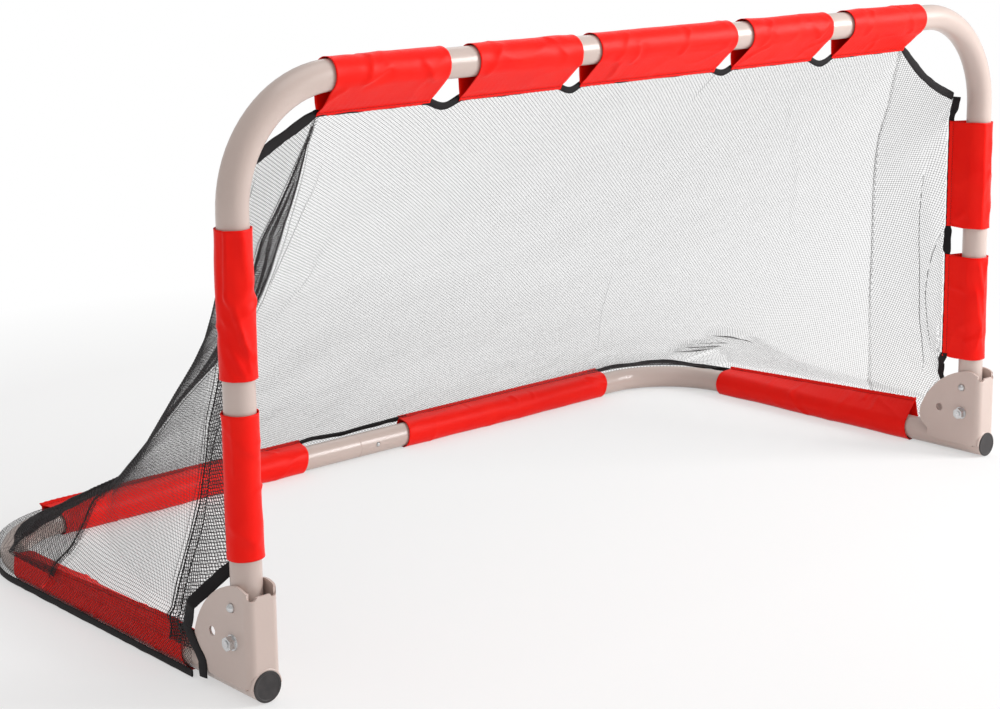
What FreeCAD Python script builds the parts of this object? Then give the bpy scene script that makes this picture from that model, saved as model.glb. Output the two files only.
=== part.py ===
import FreeCAD, Part
import math
import os

import Sketcher

# A folding goal for street and floor hockey. A hoop of bent steel tube stands in two hinge
# brackets at the front of a U-shaped base tube. Both tubes part at the middle for packing.
# Row frame: +X across the mouth, +Y to the back, +Z up, the floor at z = 0.

doc = FreeCAD.newDocument("HockeyGoal")
sizes = doc.addObject("Spreadsheet::Sheet", "Sizes")

SHEET = (
    # tube
    ("tube_od", 31.75, "outside diameter of every tube"),
    ("tube_wall", 1.2, "wall of every tube"),
    ("bend_radius", 120.0, "centre line radius of every bend"),
    ("floor_gap", 0.7, "base tube above the floor, the cloth under it"),
    # frame
    ("post_plane", -275.2, "y of the posts"),
    ("post_spacing", 1187.0, "between the post axes"),
    ("crossbar_rise", 595.0, "crossbar axis above the floor"),
    ("base_depth", 560.0, "post plane to the back tube's axis"),
    ("toe_length", 28.5, "base tube in front of the posts"),
    # joints in the middle of both tubes
    ("joint_offset", -26.0, "x of the joint line"),
    ("spigot_length", 52.0, "reduced end that the other half takes"),
    ("spigot_gap", 0.1, "radial gap round a spigot"),
    ("joint_bevel", 0.8, "bevel on both sides of a joint line"),
    ("snap_offset", 3.0, "x of the snap buttons"),
    ("snap_radius", 3.2, "radius of a snap button"),
    ("snap_proud", 1.8, "snap button outside the tube"),
    # folding bracket
    ("plate", 2.5, "sheet of the bracket"),
    ("side_gap", 0.375, "post to side plate, each side"),
    ("web_front", 28.0, "post axis to the front of the web"),
    ("corner_radius", 9.0, "outside radius of the bracket's bends"),
    ("pivot_rise", 58.5, "pivot above the floor"),
    ("lock_radius", 35.0, "pivot to a lock hole"),
    ("fold_angle", 87.0, "fold of the hoop between the two lock holes"),
    ("lobe_top", 117.0, "top of the side plates above the floor"),
    ("lobe_rear", 66.5, "rear of the side plates behind the post axis"),
    ("crown_radius", 27.0, "radius of the top lobe"),
    ("crown_setback", 9.0, "centre of the top lobe in front of the post axis"),
    ("heel_radius", 22.0, "radius of the rear lobe"),
    ("heel_rise", 48.0, "centre of the rear lobe above the floor"),
    ("flank_radius", 95.0, "radius between the two lobes"),
    ("ankle_reach", 53.0, "rear of the side plates at the base tube"),
    ("ankle_radius", 5.0, "radius above that rear edge"),
    ("web_rise", 108.5, "top of the web above the floor"),
    ("dip_depth", 3.5, "dips at the web's bends"),
    ("dip_radius", 5.0, "radius of those dips"),
    ("weld_radius", 1.9, "size of the weld beads"),
    ("foot_gap", 0.5, "web to the base tube"),
    # pivot and lock
    ("bolt_radius", 3.97, "pivot bolt"),
    ("bolt_gap", 0.08, "radial gap of the pivot bush"),
    ("bush_radius", 6.0, "outside radius of the pivot bush"),
    ("hex_flats", 13.0, "across the flats of bolt head and nut"),
    ("head_height", 5.3, "bolt head"),
    ("nut_height", 8.0, "lock nut"),
    ("flange_radius", 8.4, "flanges under bolt head and nut"),
    ("flange_height", 1.4, "thickness of those flanges"),
    ("hole_gap", 0.25, "radial gap round bolts and buttons"),
    ("lock_button_radius", 4.75, "lock button"),
    ("lock_proud", 4.75, "lock button outside the bracket"),
    ("spring_strip", 0.8, "thickness of the leaf springs"),
    ("spring_bend", 4.0, "inside radius of their bends"),
    ("spring_play", 0.8, "leaf spring of a snap button to the wall behind it"),
    ("lock_spring_length", 62.0, "leaf spring of the lock buttons"),
    ("lock_spring_width", 9.0, "its width"),
    ("snap_spring_length", 46.0, "leaf spring of a snap button"),
    ("snap_spring_width", 8.0, "its width"),
    ("post_foot", 14.0, "post below the pivot"),
    ("plug_flange", 1.5, "flange of the tube plugs"),
    ("toe_plug_depth", 16.0, "toe plug inside the tube"),
    ("foot_plug_depth", 7.0, "post plug inside the tube, clear of the bush"),
    # sleeves
    ("sleeve_cloth", 1.2, "cloth of the sleeves"),
    ("sleeve_slack", 1.5, "half the spare width inside a sleeve"),
    ("crossbar_flap", 25.0, "flap below the crossbar"),
    ("post_flap", 20.0, "flap behind a post"),
    ("back_flap", 12.0, "flap above the back tube's axis"),
    ("arm_flap", 6.0, "flap above an arm's axis"),
    ("sleeve_shift", -16.0, "x of the middle crossbar sleeve"),
    ("middle_sleeve", 217.0, "length of the middle crossbar sleeve"),
    ("short_sleeve", 144.0, "length of the other hoop sleeves"),
    ("inner_sleeve_place", 209.0, "middle sleeve to the next one, centre to centre"),
    ("outer_sleeve_place", 392.5, "middle sleeve to the outer one, centre to centre"),
    ("low_sleeve_rise", 134.0, "lower end of the lower post sleeves"),
    ("high_sleeve_rise", 311.0, "lower end of the upper post sleeves"),
    ("back_sleeve_shift", -28.0, "x of the middle of the back sleeves"),
    ("back_sleeve_start", 87.0, "that middle to the near end of each back sleeve"),
    ("back_sleeve_length", 358.0, "length of a back sleeve, on the straight tube"),
    ("arm_sleeve_start", 92.0, "post plane to the front end of an arm sleeve"),
    ("arm_sleeve_end", 2.0, "arm sleeve to the bend behind it"),
    # net
    ("net_thickness", 1.0, "mesh"),
    ("net_gap", 0.3, "mesh to the sleeves"),
    ("knee_rise", 30.0, "height where the mesh starts to lean"),
    ("hem_top", 9.0, "top of the hem tape"),
    ("hem_bottom", 0.6, "bottom of the hem tape"),
    ("hem_thickness", 3.0, "hem tape"),
    ("tape_width", 8.0, "tape on the top edge of the mesh"),
    ("front_tape_width", 16.0, "tapes on the front edges of the mesh"),
    ("net_shoulder", 496.0, "height where the mesh meets the hoop's bends"),
    ("net_front", 70.0, "post plane to the front of the mesh at the floor"),
    ("net_bulge", 77.0, "post plane to the mesh's front edge half way up"),
    ("net_clear", 80.0, "height up to which that edge stays outside the bracket"),
    ("net_sag", 0.2, "drop of a knot below the middle of its neighbours"),
    ("mesh_bar", 5.0, "bars of the mesh"),
)

for row, (alias, value, meaning) in enumerate(SHEET, start=1):
    sizes.set(f"A{row}", alias)
    sizes.set(f"B{row}", str(value))
    sizes.set(f"C{row}", meaning)
    sizes.setAlias(f"B{row}", alias)
doc.recompute()

X = FreeCAD.Vector(1, 0, 0)
Y = FreeCAD.Vector(0, 1, 0)
Z = FreeCAD.Vector(0, 0, 1)

# Lengths that several pieces share, as expressions on the sheet.
TUBE_R = "Sizes.tube_od / 2"
BORE_R = "(Sizes.tube_od / 2 - Sizes.tube_wall)"
POST_X = "Sizes.post_spacing / 2"
BASE_Z = "(Sizes.tube_od / 2 + Sizes.floor_gap)"
BACK_Y = "(Sizes.post_plane + Sizes.base_depth)"
SLOT_HALF = "(Sizes.tube_od / 2 + Sizes.side_gap)"
PLATE_HALF = "(Sizes.tube_od / 2 + Sizes.side_gap + Sizes.plate)"
SPIGOT_R = "(Sizes.tube_od / 2 - Sizes.tube_wall - Sizes.spigot_gap)"
SPIGOT_BORE = "(Sizes.tube_od / 2 - 2 * Sizes.tube_wall - Sizes.spigot_gap)"
SLEEVE_R = "(Sizes.tube_od / 2 + Sizes.sleeve_slack + Sizes.sleeve_cloth)"
NET_OFFSET = "(Sizes.tube_od / 2 + Sizes.sleeve_slack + Sizes.sleeve_cloth + Sizes.net_gap)"
LOCK_SEAT = "(Sizes.tube_od / 2 - Sizes.tube_wall - 2.6)"
SNAP_SEAT = "(Sizes.tube_od / 2 - 2 * Sizes.tube_wall - Sizes.spigot_gap - 2.2)"

SIDES = (("left", -1), ("right", 1))

# Gaps of the mesh across each panel and from its upper edge down, and the rounds in which its
# knots settle.
SIDE_GAPS, CORNER_GAPS, BACK_GAPS, GAPS_DOWN = 6, 3, 12, 8
SETTLING_ROUNDS = 400

# The two joints in the middle: name, place of the tube's axis, and the way the button points.
JOINTS = (
    ("base_joint", (BACK_Y, BASE_Z), -Y),
    ("crossbar_joint", ("Sizes.post_plane", "Sizes.crossbar_rise"), -Z),
)


def value(expression):
    """An expression on the sheet as a plain number."""
    return float(sizes.evalExpression(str(expression)))


def bind(obj, **expressions):
    """Ties properties of an object to expressions on the sheet."""
    for name, expression in expressions.items():
        obj.setExpression(name, str(expression))
    return obj


def place(obj, base=("0", "0", "0"), turn=None):
    """Ties an object's place to the sheet and turns it."""
    if turn is not None:
        obj.Placement = FreeCAD.Placement(FreeCAD.Vector(), turn)
    for axis, expression in zip("xyz", base):
        obj.setExpression(f"Placement.Base.{axis}", str(expression))
    return obj


def turn_to(direction):
    """The turn that points a solid's own Z along a direction."""
    return FreeCAD.Rotation(Z, direction)


def named(obj, label):
    """Marks an object as a sub-part of the goal."""
    obj.Label = label
    PARTS.append(obj)
    return obj


PARTS = []


def cylinder(radius, height, base, direction=Z, start="0"):
    """A cylinder from a base point along a direction; start moves it along that direction."""
    obj = doc.addObject("Part::Cylinder", "Cylinder")
    bind(obj, Radius=radius, Height=height)
    shift = [f"({b}) + ({start}) * ({d:g})" for b, d in zip(base, direction)]
    return place(obj, shift, turn_to(direction))


def cone(low_radius, high_radius, height, base, direction):
    """A cone from a base point along a direction."""
    obj = doc.addObject("Part::Cone", "Cone")
    bind(obj, Radius1=low_radius, Radius2=high_radius, Height=height)
    return place(obj, base, turn_to(direction))


def box(length, width, height, base, turn=None):
    """A box with its lowest corner at a base point."""
    obj = doc.addObject("Part::Box", "Box")
    bind(obj, Length=length, Width=width, Height=height)
    return place(obj, base, turn)


def quarter_bend(radius, centre, turn):
    """A quarter of a torus on the bend radius, from its own +X round to its own +Y."""
    obj = doc.addObject("Part::Torus", "Torus")
    bind(obj, Radius1="Sizes.bend_radius", Radius2=radius)
    obj.Angle3 = 90
    return place(obj, centre, turn)


def fuse(*pieces):
    obj = doc.addObject("Part::MultiFuse", "Fusion")
    obj.Shapes = list(pieces)
    obj.Refine = True
    return obj


def cut(base, *tools):
    """One solid less others, one cut after another."""
    for tool in tools:
        obj = doc.addObject("Part::Cut", "Cut")
        obj.Base = base
        obj.Tool = tool
        base = obj
    return base


def common(one, other):
    obj = doc.addObject("Part::Common", "Common")
    obj.Base = one
    obj.Tool = other
    return obj


def arc_centre(start, end, radius, left):
    """Centre of an arc of a radius, on the left or the right of the chord."""
    middle = ((start[0] + end[0]) / 2, (start[1] + end[1]) / 2)
    chord = math.dist(start, end)
    rise = math.sqrt(max(radius**2 - (chord / 2) ** 2, 0.0))
    normal = ((start[1] - end[1]) / chord, (end[0] - start[0]) / chord)
    sign = 1 if left else -1
    return (middle[0] + sign * rise * normal[0], middle[1] + sign * rise * normal[1])


def sketch(name, corners, arcs=None, plane=None, at=("0", "0", "0")):
    """A closed sketch through corners given as expressions.

    arcs maps the number of an edge to (radius expression, whether the centre is on its left).
    """
    arcs = arcs or {}
    obj = doc.addObject("Sketcher::SketchObject", name)
    points = [(value(x), value(y)) for x, y in corners]
    count = len(points)
    ends = []
    for n in range(count):
        start, end = points[n], points[(n + 1) % count]
        first, last = FreeCAD.Vector(*start, 0), FreeCAD.Vector(*end, 0)
        if n not in arcs:
            obj.addGeometry(Part.LineSegment(first, last), False)
            ends.append((1, 2))
            continue
        radius, left = value(arcs[n][0]), arcs[n][1]
        centre = arc_centre(start, end, radius, left)
        angles = [math.atan2(p[1] - centre[1], p[0] - centre[0]) for p in (start, end)]
        if not left:
            angles.reverse()
        if angles[1] < angles[0]:
            angles[1] += 2 * math.pi
        circle = Part.Circle(FreeCAD.Vector(*centre, 0), Z, radius)
        obj.addGeometry(Part.ArcOfCircle(circle, *angles), False)
        ends.append((1, 2) if left else (2, 1))
    for n in range(count):
        after = (n + 1) % count
        obj.addConstraint(Sketcher.Constraint("Coincident", n, ends[n][1], after, ends[after][0]))
    for n, (across, up) in enumerate(corners):
        for kind, which, expression in (("DistanceX", 0, across), ("DistanceY", 1, up)):
            constraint = Sketcher.Constraint(kind, n, ends[n][0], points[n][which])
            index = obj.addConstraint(constraint)
            obj.setExpression(f"Constraints[{index}]", expression)
    for n, (radius, _) in arcs.items():
        index = obj.addConstraint(Sketcher.Constraint("Radius", n, value(radius)))
        obj.setExpression(f"Constraints[{index}]", radius)
    return place(obj, at, plane)


def extrude(profile, length, both_ways=False):
    obj = doc.addObject("Part::Extrusion", "Extrusion")
    obj.Base = profile
    obj.DirMode = "Normal"
    obj.Solid = True
    obj.Symmetric = both_ways
    return bind(obj, LengthFwd=length)


def revolve(profile, axis=X):
    """A full turn of a profile round an axis through the origin."""
    obj = doc.addObject("Part::Revolution", "Revolution")
    obj.Source = profile
    obj.Axis = axis
    obj.Base = FreeCAD.Vector()
    obj.Angle = 360
    obj.Solid = True
    return obj


def moved(source, base, turn=None):
    """A placed copy of a solid that is modelled at the origin."""
    obj = doc.addObject("Part::Compound", "Placed")
    obj.Links = [source]
    return place(obj, base, turn)


# The planes of the sketches: the side view has y across and z up, the front view x and z.
SIDE_VIEW = FreeCAD.Rotation(Y, Z, X, "XYZ")
FRONT_VIEW = FreeCAD.Rotation(X, Z, FreeCAD.Vector(0, -1, 0), "XYZ")


def base_path(side, radius, back_to):
    """Arm, bend and half of the back tube as one solid bar of a radius."""
    x = f"{side} * {POST_X}"
    bend_y = f"({BACK_Y} - Sizes.bend_radius)"
    arm_length = "Sizes.toe_length + Sizes.base_depth - Sizes.bend_radius"
    arm = cylinder(radius, arm_length, (x, "Sizes.post_plane - Sizes.toe_length", BASE_Z), Y)
    centre = (f"{side} * ({POST_X} - Sizes.bend_radius)", bend_y, BASE_Z)
    bend = quarter_bend(radius, centre, FreeCAD.Rotation(Z, 90 if side < 0 else 0))
    length = f"{POST_X} - Sizes.bend_radius + {-side} * ({back_to})"
    inward = FreeCAD.Vector(-side, 0, 0)
    back = cylinder(radius, length, (centre[0], BACK_Y, BASE_Z), inward)
    return [arm, bend, back]


def hoop_path(side, radius, foot, across_to):
    """Post, bend and half of the crossbar as one solid bar of a radius."""
    x = f"{side} * {POST_X}"
    bend_z = "(Sizes.crossbar_rise - Sizes.bend_radius)"
    post = cylinder(radius, f"{bend_z} - ({foot})", (x, "Sizes.post_plane", foot), Z)
    centre = (f"{side} * ({POST_X} - Sizes.bend_radius)", "Sizes.post_plane", bend_z)
    facing = FreeCAD.Rotation(X, Z, FreeCAD.Vector(0, -1, 0), "XYZ")
    if side < 0:
        facing = facing.multiply(FreeCAD.Rotation(Z, 90))
    bend = quarter_bend(radius, centre, facing)
    length = f"{POST_X} - Sizes.bend_radius + {-side} * ({across_to})"
    inward = FreeCAD.Vector(-side, 0, 0)
    bar = cylinder(radius, length, (centre[0], "Sizes.post_plane", "Sizes.crossbar_rise"), inward)
    return [post, bend, bar]


def joint_end(side, y, z):
    """The bevelled last stretch of a half tube at the joint line."""
    start = f"Sizes.joint_offset + {side} * Sizes.joint_bevel"
    facing = FreeCAD.Vector(-side, 0, 0)
    return cone(TUBE_R, f"{TUBE_R} - Sizes.joint_bevel / 2", "Sizes.joint_bevel", (start, y, z), facing)


def spigot_half(outer, inner, y, z):
    """The half tube with the reduced end: its bars, spigot and stepped bore."""
    neck = "2 * Sizes.tube_wall"
    spigot = cylinder(SPIGOT_R, f"Sizes.spigot_length + {neck}", ("Sizes.joint_offset", y, z), X, f"-{neck}")
    stepped = f"Sizes.spigot_length + 3 * {neck}"
    bore = cylinder(SPIGOT_BORE, stepped, ("Sizes.joint_offset", y, z), X, f"-2 * {neck}")
    solid = fuse(*outer, joint_end(-1, y, z), spigot)
    return cut(solid, fuse(*inner, bore))


def socket_half(outer, inner, y, z):
    """The half tube that takes the reduced end."""
    mouth = cylinder(BORE_R, "4 * Sizes.joint_bevel", ("Sizes.joint_offset", y, z), X, "-Sizes.joint_bevel")
    solid = fuse(*outer, joint_end(1, y, z))
    return cut(solid, fuse(*inner, mouth))


def snap_hole(joint):
    """The hole of a snap button through both walls, on one side of the tube."""
    _, (y, z), out = JOINTS[joint]
    return cylinder("Sizes.snap_radius + Sizes.hole_gap", "Sizes.tube_od", ("Sizes.snap_offset", y, z), out)


def half_tube(path, side, ends):
    """One hollow half of the base or of the hoop, as (outer bars, bore bars)."""
    stop_outer = f"Sizes.joint_offset + {side} * Sizes.joint_bevel"
    neck = f"Sizes.joint_offset + {side} * 4 * Sizes.tube_wall" if side < 0 else "Sizes.joint_offset"
    outer = path(side, TUBE_R, *ends, stop_outer)
    inner = path(side, BORE_R, *ends, neck)
    return outer, inner


def base_tubes():
    """The U-shaped base in two halves, left with the spigot, right with the socket."""
    for name, side in SIDES:
        outer, inner = half_tube(base_path, side, ())
        build = spigot_half if side < 0 else socket_half
        tube = cut(build(outer, inner, BACK_Y, BASE_Z), snap_hole(0))
        named(tube, f"base_tube_{name}")


def hoop_tubes():
    """The hoop in two halves, drilled through for the pivot bush and the lock buttons."""
    foot = "(Sizes.pivot_rise - Sizes.post_foot)"
    y, z = "Sizes.post_plane", "Sizes.crossbar_rise"
    for name, side in SIDES:
        outer, inner = half_tube(hoop_path, side, (foot,))
        build = spigot_half if side < 0 else socket_half
        x = f"{side} * {POST_X} - {TUBE_R}"
        bush = cylinder("Sizes.bush_radius", "Sizes.tube_od", (x, y, "Sizes.pivot_rise"), X)
        lock_z = "Sizes.pivot_rise + Sizes.lock_radius"
        hole_r = "Sizes.lock_button_radius + Sizes.hole_gap"
        lock = cylinder(hole_r, "Sizes.tube_od", (x, y, lock_z), X)
        tube = cut(build(outer, inner, y, z), snap_hole(1), fuse(bush, lock))
        named(tube, f"hoop_tube_{name}")


def side_arcs():
    """Where the arcs of the side plates meet, in the side view, from the crown to the ankle.

    The flank touches both lobes from outside, and the ankle fills the corner between the
    rear lobe and the upright rear edge.
    """
    front, top = value("-Sizes.web_front"), value("Sizes.lobe_top - Sizes.crown_radius")
    crown_r, heel_r = value("Sizes.crown_radius"), value("Sizes.heel_radius")
    flank_r, ankle_r = value("Sizes.flank_radius"), value("Sizes.ankle_radius")
    crown = (value("-Sizes.crown_setback"), top)
    heel = (value("Sizes.lobe_rear - Sizes.heel_radius"), value("Sizes.heel_rise"))
    flank = circles_meet(crown, flank_r - crown_r, heel, flank_r - heel_r)
    ankle_y = value("Sizes.ankle_reach + Sizes.ankle_radius")
    drop = math.sqrt((heel_r + ankle_r) ** 2 - (ankle_y - heel[0]) ** 2)
    ankle = (ankle_y, heel[1] - drop)
    shoulder = (front, top + math.sqrt(crown_r**2 - (front - crown[0]) ** 2))
    return [
        shoulder,
        along(flank, crown, flank_r),
        along(flank, heel, flank_r),
        along(heel, ankle, heel_r),
        (value("Sizes.ankle_reach"), ankle[1]),
    ]


def circles_meet(one, one_r, other, other_r):
    """The lower left of the two points where two circles meet."""
    span = math.dist(one, other)
    advance = (one_r**2 - other_r**2 + span**2) / (2 * span)
    rise = math.sqrt(one_r**2 - advance**2)
    ux, uz = (other[0] - one[0]) / span, (other[1] - one[1]) / span
    foot = (one[0] + advance * ux, one[1] + advance * uz)
    meets = [(foot[0] + sign * rise * uz, foot[1] - sign * rise * ux) for sign in (-1, 1)]
    return min(meets, key=sum)


def along(start, towards, distance):
    """The point at a distance from start on the line through another point."""
    span = math.dist(start, towards)
    return tuple(s + (t - s) * distance / span for s, t in zip(start, towards))


def side_outline():
    """The outline of the bracket's side plates, in the side view, from the toe round the top."""
    corners = [("-Sizes.web_front", BASE_Z)]
    corners += [(f"{y:.5f}", f"{z:.5f}") for y, z in side_arcs()]
    corners += [("Sizes.ankle_reach", BASE_Z)]
    arcs = {
        1: ("Sizes.crown_radius", False),
        2: ("Sizes.flank_radius", False),
        3: ("Sizes.heel_radius", False),
        4: ("Sizes.ankle_radius", True),
    }
    return sketch("SidePlate", corners, arcs, SIDE_VIEW)


def bracket():
    """The folding bracket at the origin of its post: one bent sheet, open behind and on top."""
    wide, slot, deep = PLATE_HALF, SLOT_HALF, "-Sizes.web_front"
    bend, inner = "Sizes.corner_radius", "(Sizes.corner_radius - Sizes.plate)"
    inside = f"({deep} + Sizes.plate)"
    rear = "(Sizes.lobe_rear + 1)"
    corners = [
        (f"-{wide}", rear),
        (f"-{wide}", f"{deep} + {bend}"),
        (f"-{wide} + {bend}", deep),
        (f"{wide} - {bend}", deep),
        (wide, f"{deep} + {bend}"),
        (wide, rear),
        (slot, rear),
        (slot, f"{inside} + {inner}"),
        (f"{slot} - {inner}", inside),
        (f"-{slot} + {inner}", inside),
        (f"-{slot}", f"{inside} + {inner}"),
        (f"-{slot}", rear),
    ]
    arcs = {1: (bend, True), 3: (bend, True), 7: (inner, False), 9: (inner, False)}
    channel = extrude(sketch("Channel", corners, arcs), "Sizes.lobe_top")
    blank = common(channel, extrude(side_outline(), "2 * Sizes.tube_od", True))
    # The web ends below the lobes, dips at both bends, and is cut round the base tube.
    start, reach = f"{deep} - 1", "Sizes.plate + 3"
    bend_x = f"({wide} - 0.7 * {bend})"
    dip_z = "Sizes.web_rise + Sizes.dip_radius - Sizes.dip_depth"
    dips = [cylinder("Sizes.dip_radius", reach, (f"{side} * {bend_x}", start, dip_z), Y) for _, side in SIDES]
    brow = box(f"2 * {bend_x}", reach, "Sizes.corner_radius", (f"-{bend_x}", start, "Sizes.web_rise"))
    foot = cylinder(f"{TUBE_R} + Sizes.foot_gap", f"{bend} + 1", ("0", start, BASE_Z), Y)
    bolt = through_plates("Sizes.bolt_radius + Sizes.hole_gap", "0", "Sizes.pivot_rise")
    hole_r = "Sizes.lock_button_radius + Sizes.hole_gap"
    locked = through_plates(hole_r, "0", "Sizes.pivot_rise + Sizes.lock_radius")
    folded = through_plates(hole_r, *folded_place())
    return cut(blank, fuse(*dips, brow), foot, fuse(bolt, locked, folded))


def folded_place():
    """The second lock hole, where the buttons stand once the hoop is folded."""
    angle = "Sizes.fold_angle * 1deg"
    rise = f"Sizes.pivot_rise + Sizes.lock_radius * cos({angle})"
    return f"Sizes.lock_radius * sin({angle})", rise


def through_plates(radius, y, z):
    """A bar across both side plates, for their holes."""
    return cylinder(radius, f"4 * {TUBE_R}", (f"-2 * {TUBE_R}", y, z), X)


def weld_beads(body):
    """Fillet welds along the feet of the side plates and round the foot of the web."""
    length = "Sizes.ankle_reach + Sizes.web_front - 2 * Sizes.corner_radius"
    start = "-Sizes.web_front + Sizes.corner_radius"
    beads = []
    for _, side in SIDES:
        at = (f"{side} * ({SLOT_HALF} + Sizes.plate * 0.3)", start, f"{BASE_Z} - Sizes.plate * 0.3")
        beads.append(cylinder("Sizes.weld_radius", length, at, Y))
    ring = doc.addObject("Part::Torus", "Torus")
    bind(ring, Radius1=f"{TUBE_R} + Sizes.foot_gap", Radius2="Sizes.weld_radius")
    ring.Angle3 = 180
    place(ring, ("0", "-Sizes.web_front + Sizes.plate / 2", BASE_Z), FRONT_VIEW)
    tube = cylinder(TUBE_R, "4 * Sizes.tube_od", ("0", "-2 * Sizes.tube_od", BASE_Z), Y)
    return cut(fuse(*beads, ring), tube, body)


def hex_piece(height, seat, facing):
    """A flanged hexagon that seats on a side plate, with a chamfered end."""
    flats = doc.addObject("Part::Prism", "Hexagon")
    flats.Polygon = 6
    bind(flats, Circumradius="Sizes.hex_flats / sqrt(3)", Height=height)
    place(flats, (seat, "0", "Sizes.pivot_rise"), turn_to(facing))
    round_r = "Sizes.hex_flats / sqrt(3)"
    taper = cone(f"{round_r} + {height}", f"{round_r} * 0.9", height, (seat, "0", "Sizes.pivot_rise"), facing)
    flange = cone(
        "Sizes.flange_radius",
        "Sizes.flange_radius - 0.4",
        "Sizes.flange_height",
        (seat, "0", "Sizes.pivot_rise"),
        facing,
    )
    return fuse(common(flats, taper), flange)


def pivot_bolt():
    """The pivot bolt: its head on the +X plate, its end just past the nut."""
    shank_length = f"2 * {PLATE_HALF} + Sizes.nut_height + 1"
    start = (f"-{PLATE_HALF} - Sizes.nut_height - 1", "0", "Sizes.pivot_rise")
    shank = cylinder("Sizes.bolt_radius", shank_length, start, X)
    return fuse(shank, hex_piece("Sizes.head_height", PLATE_HALF, X))


def lock_nut():
    """The nut on the -X plate, with the bolt's hole through it."""
    nut = hex_piece("Sizes.nut_height", f"-{PLATE_HALF}", -X)
    hole = through_plates("Sizes.bolt_radius", "0", "Sizes.pivot_rise")
    return cut(nut, hole)


def pivot_bush():
    """The steel bush across the post, which turns on the pivot bolt."""
    half = f"({SLOT_HALF} - Sizes.side_gap / 2)"
    start = (f"-{half}", "0", "Sizes.pivot_rise")
    outer = cylinder("Sizes.bush_radius", f"2 * {half}", start, X)
    bore = through_plates("Sizes.bolt_radius + Sizes.bolt_gap", "0", "Sizes.pivot_rise")
    return cut(outer, bore)


def button(radius, seat, collar, shoulder, tip):
    """A domed button along +X, with the collar that holds it inside a tube."""
    corners = [
        (seat, "0"),
        (tip, "0"),
        (f"({tip}) - ({radius})", radius),
        (shoulder, radius),
        (shoulder, collar),
        (seat, collar),
    ]
    profile = sketch("Button", corners, {1: (radius, True)})
    return revolve(profile)


def lock_button():
    tip = f"({PLATE_HALF} + Sizes.lock_proud)"
    shoulder = f"({LOCK_SEAT} + 1.1)"
    return button("Sizes.lock_button_radius", LOCK_SEAT, "Sizes.lock_button_radius + 1.4", shoulder, tip)


def snap_button():
    tip = f"({TUBE_R} + Sizes.snap_proud)"
    shoulder = f"({SNAP_SEAT} + 1.1)"
    return button("Sizes.snap_radius", SNAP_SEAT, "Sizes.snap_radius + 1.4", shoulder, tip)


def leaf_spring(spans, legs, rise, width):
    """A V of spring strip in the plane of local x and z, its bend up, its legs' ends at z = 0.

    The legs press outwards at the two spans, first straight, then drawn in to the bend.
    """
    thick = value("Sizes.spring_strip")
    radius = value("Sizes.spring_bend")
    centre = (0.0, rise - radius - thick)

    def leg(span, inset, bend):
        """Foot, knee and the start of the bend, on the leg's outer or inner face."""
        knee = (span - inset, legs)
        return [(span - inset, 0.0), knee, tangent_point(centre, bend, knee)]

    def lines(points):
        vectors = [FreeCAD.Vector(x, -width / 2, z) for x, z in points]
        return [Part.LineSegment(a, b).toShape() for a, b in zip(vectors, vectors[1:])]

    edges = []
    for inset, bend in ((0.0, radius + thick), (thick, radius)):
        right, left = (leg(span, inset, bend) for span in spans)
        left = [(-x, z) for x, z in left]
        top = (0.0, centre[1] + bend)
        cap = [FreeCAD.Vector(x, -width / 2, z) for x, z in (right[-1], top, left[-1])]
        edges += lines(right) + lines(left) + [Part.Arc(*cap).toShape()]
    for sign, span in zip((1, -1), spans):
        edges += lines([(sign * span, 0.0), (sign * (span - thick), 0.0)])
    face = Part.Face(Part.Wire(Part.__sortEdges__(edges)))
    return face.extrude(FreeCAD.Vector(0, width, 0))


def tangent_point(centre, radius, point):
    """Where the line from a point on the right touches a circle."""
    dx, dz = point[0] - centre[0], point[1] - centre[1]
    angle = math.atan2(dz, dx) + math.acos(radius / math.hypot(dx, dz))
    return (centre[0] + radius * math.cos(angle), centre[1] + radius * math.sin(angle))


def feature(shape, label, base=(0, 0, 0), turn=None):
    """A sub-part whose shape is worked out in this file from the sheet."""
    obj = doc.addObject("Part::Feature", "Feature")
    obj.Shape = shape
    obj.Placement = FreeCAD.Placement(FreeCAD.Vector(*base), turn or FreeCAD.Rotation())
    return named(obj, label)


def hinges():
    """Brackets, welds, pivots and locks at both posts."""
    for name, side in SIDES:
        at = (f"{side} * {POST_X}", "Sizes.post_plane", "0")
        body = bracket()
        named(moved(body, at), f"hinge_bracket_{name}")
        named(moved(weld_beads(body), at), f"bracket_weld_{name}")
        named(moved(pivot_bolt(), at), f"pivot_bolt_{name}")
        named(moved(lock_nut(), at), f"pivot_nut_{name}")
        named(moved(pivot_bush(), at), f"pivot_bush_{name}")
        lock_at = (at[0], at[1], "Sizes.pivot_rise + Sizes.lock_radius")
        # The outer button faces away from the goal's middle, the inner one towards it.
        outward = FreeCAD.Rotation(Z, 180) if side < 0 else FreeCAD.Rotation()
        inward = FreeCAD.Rotation() if side < 0 else FreeCAD.Rotation(Z, 180)
        named(moved(lock_button(), lock_at, outward), f"lock_button_{name}_outer")
        named(moved(lock_button(), lock_at, inward), f"lock_button_{name}_inner")
        width, seat = value("Sizes.lock_spring_width"), value(LOCK_SEAT)
        strip = leaf_spring((seat, seat), 1.8 * width, value("Sizes.lock_spring_length"), width)
        base = (value(at[0]), value(at[1]), value(lock_at[2]) - 0.9 * width)
        feature(strip, f"lock_spring_{name}", base)


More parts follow.
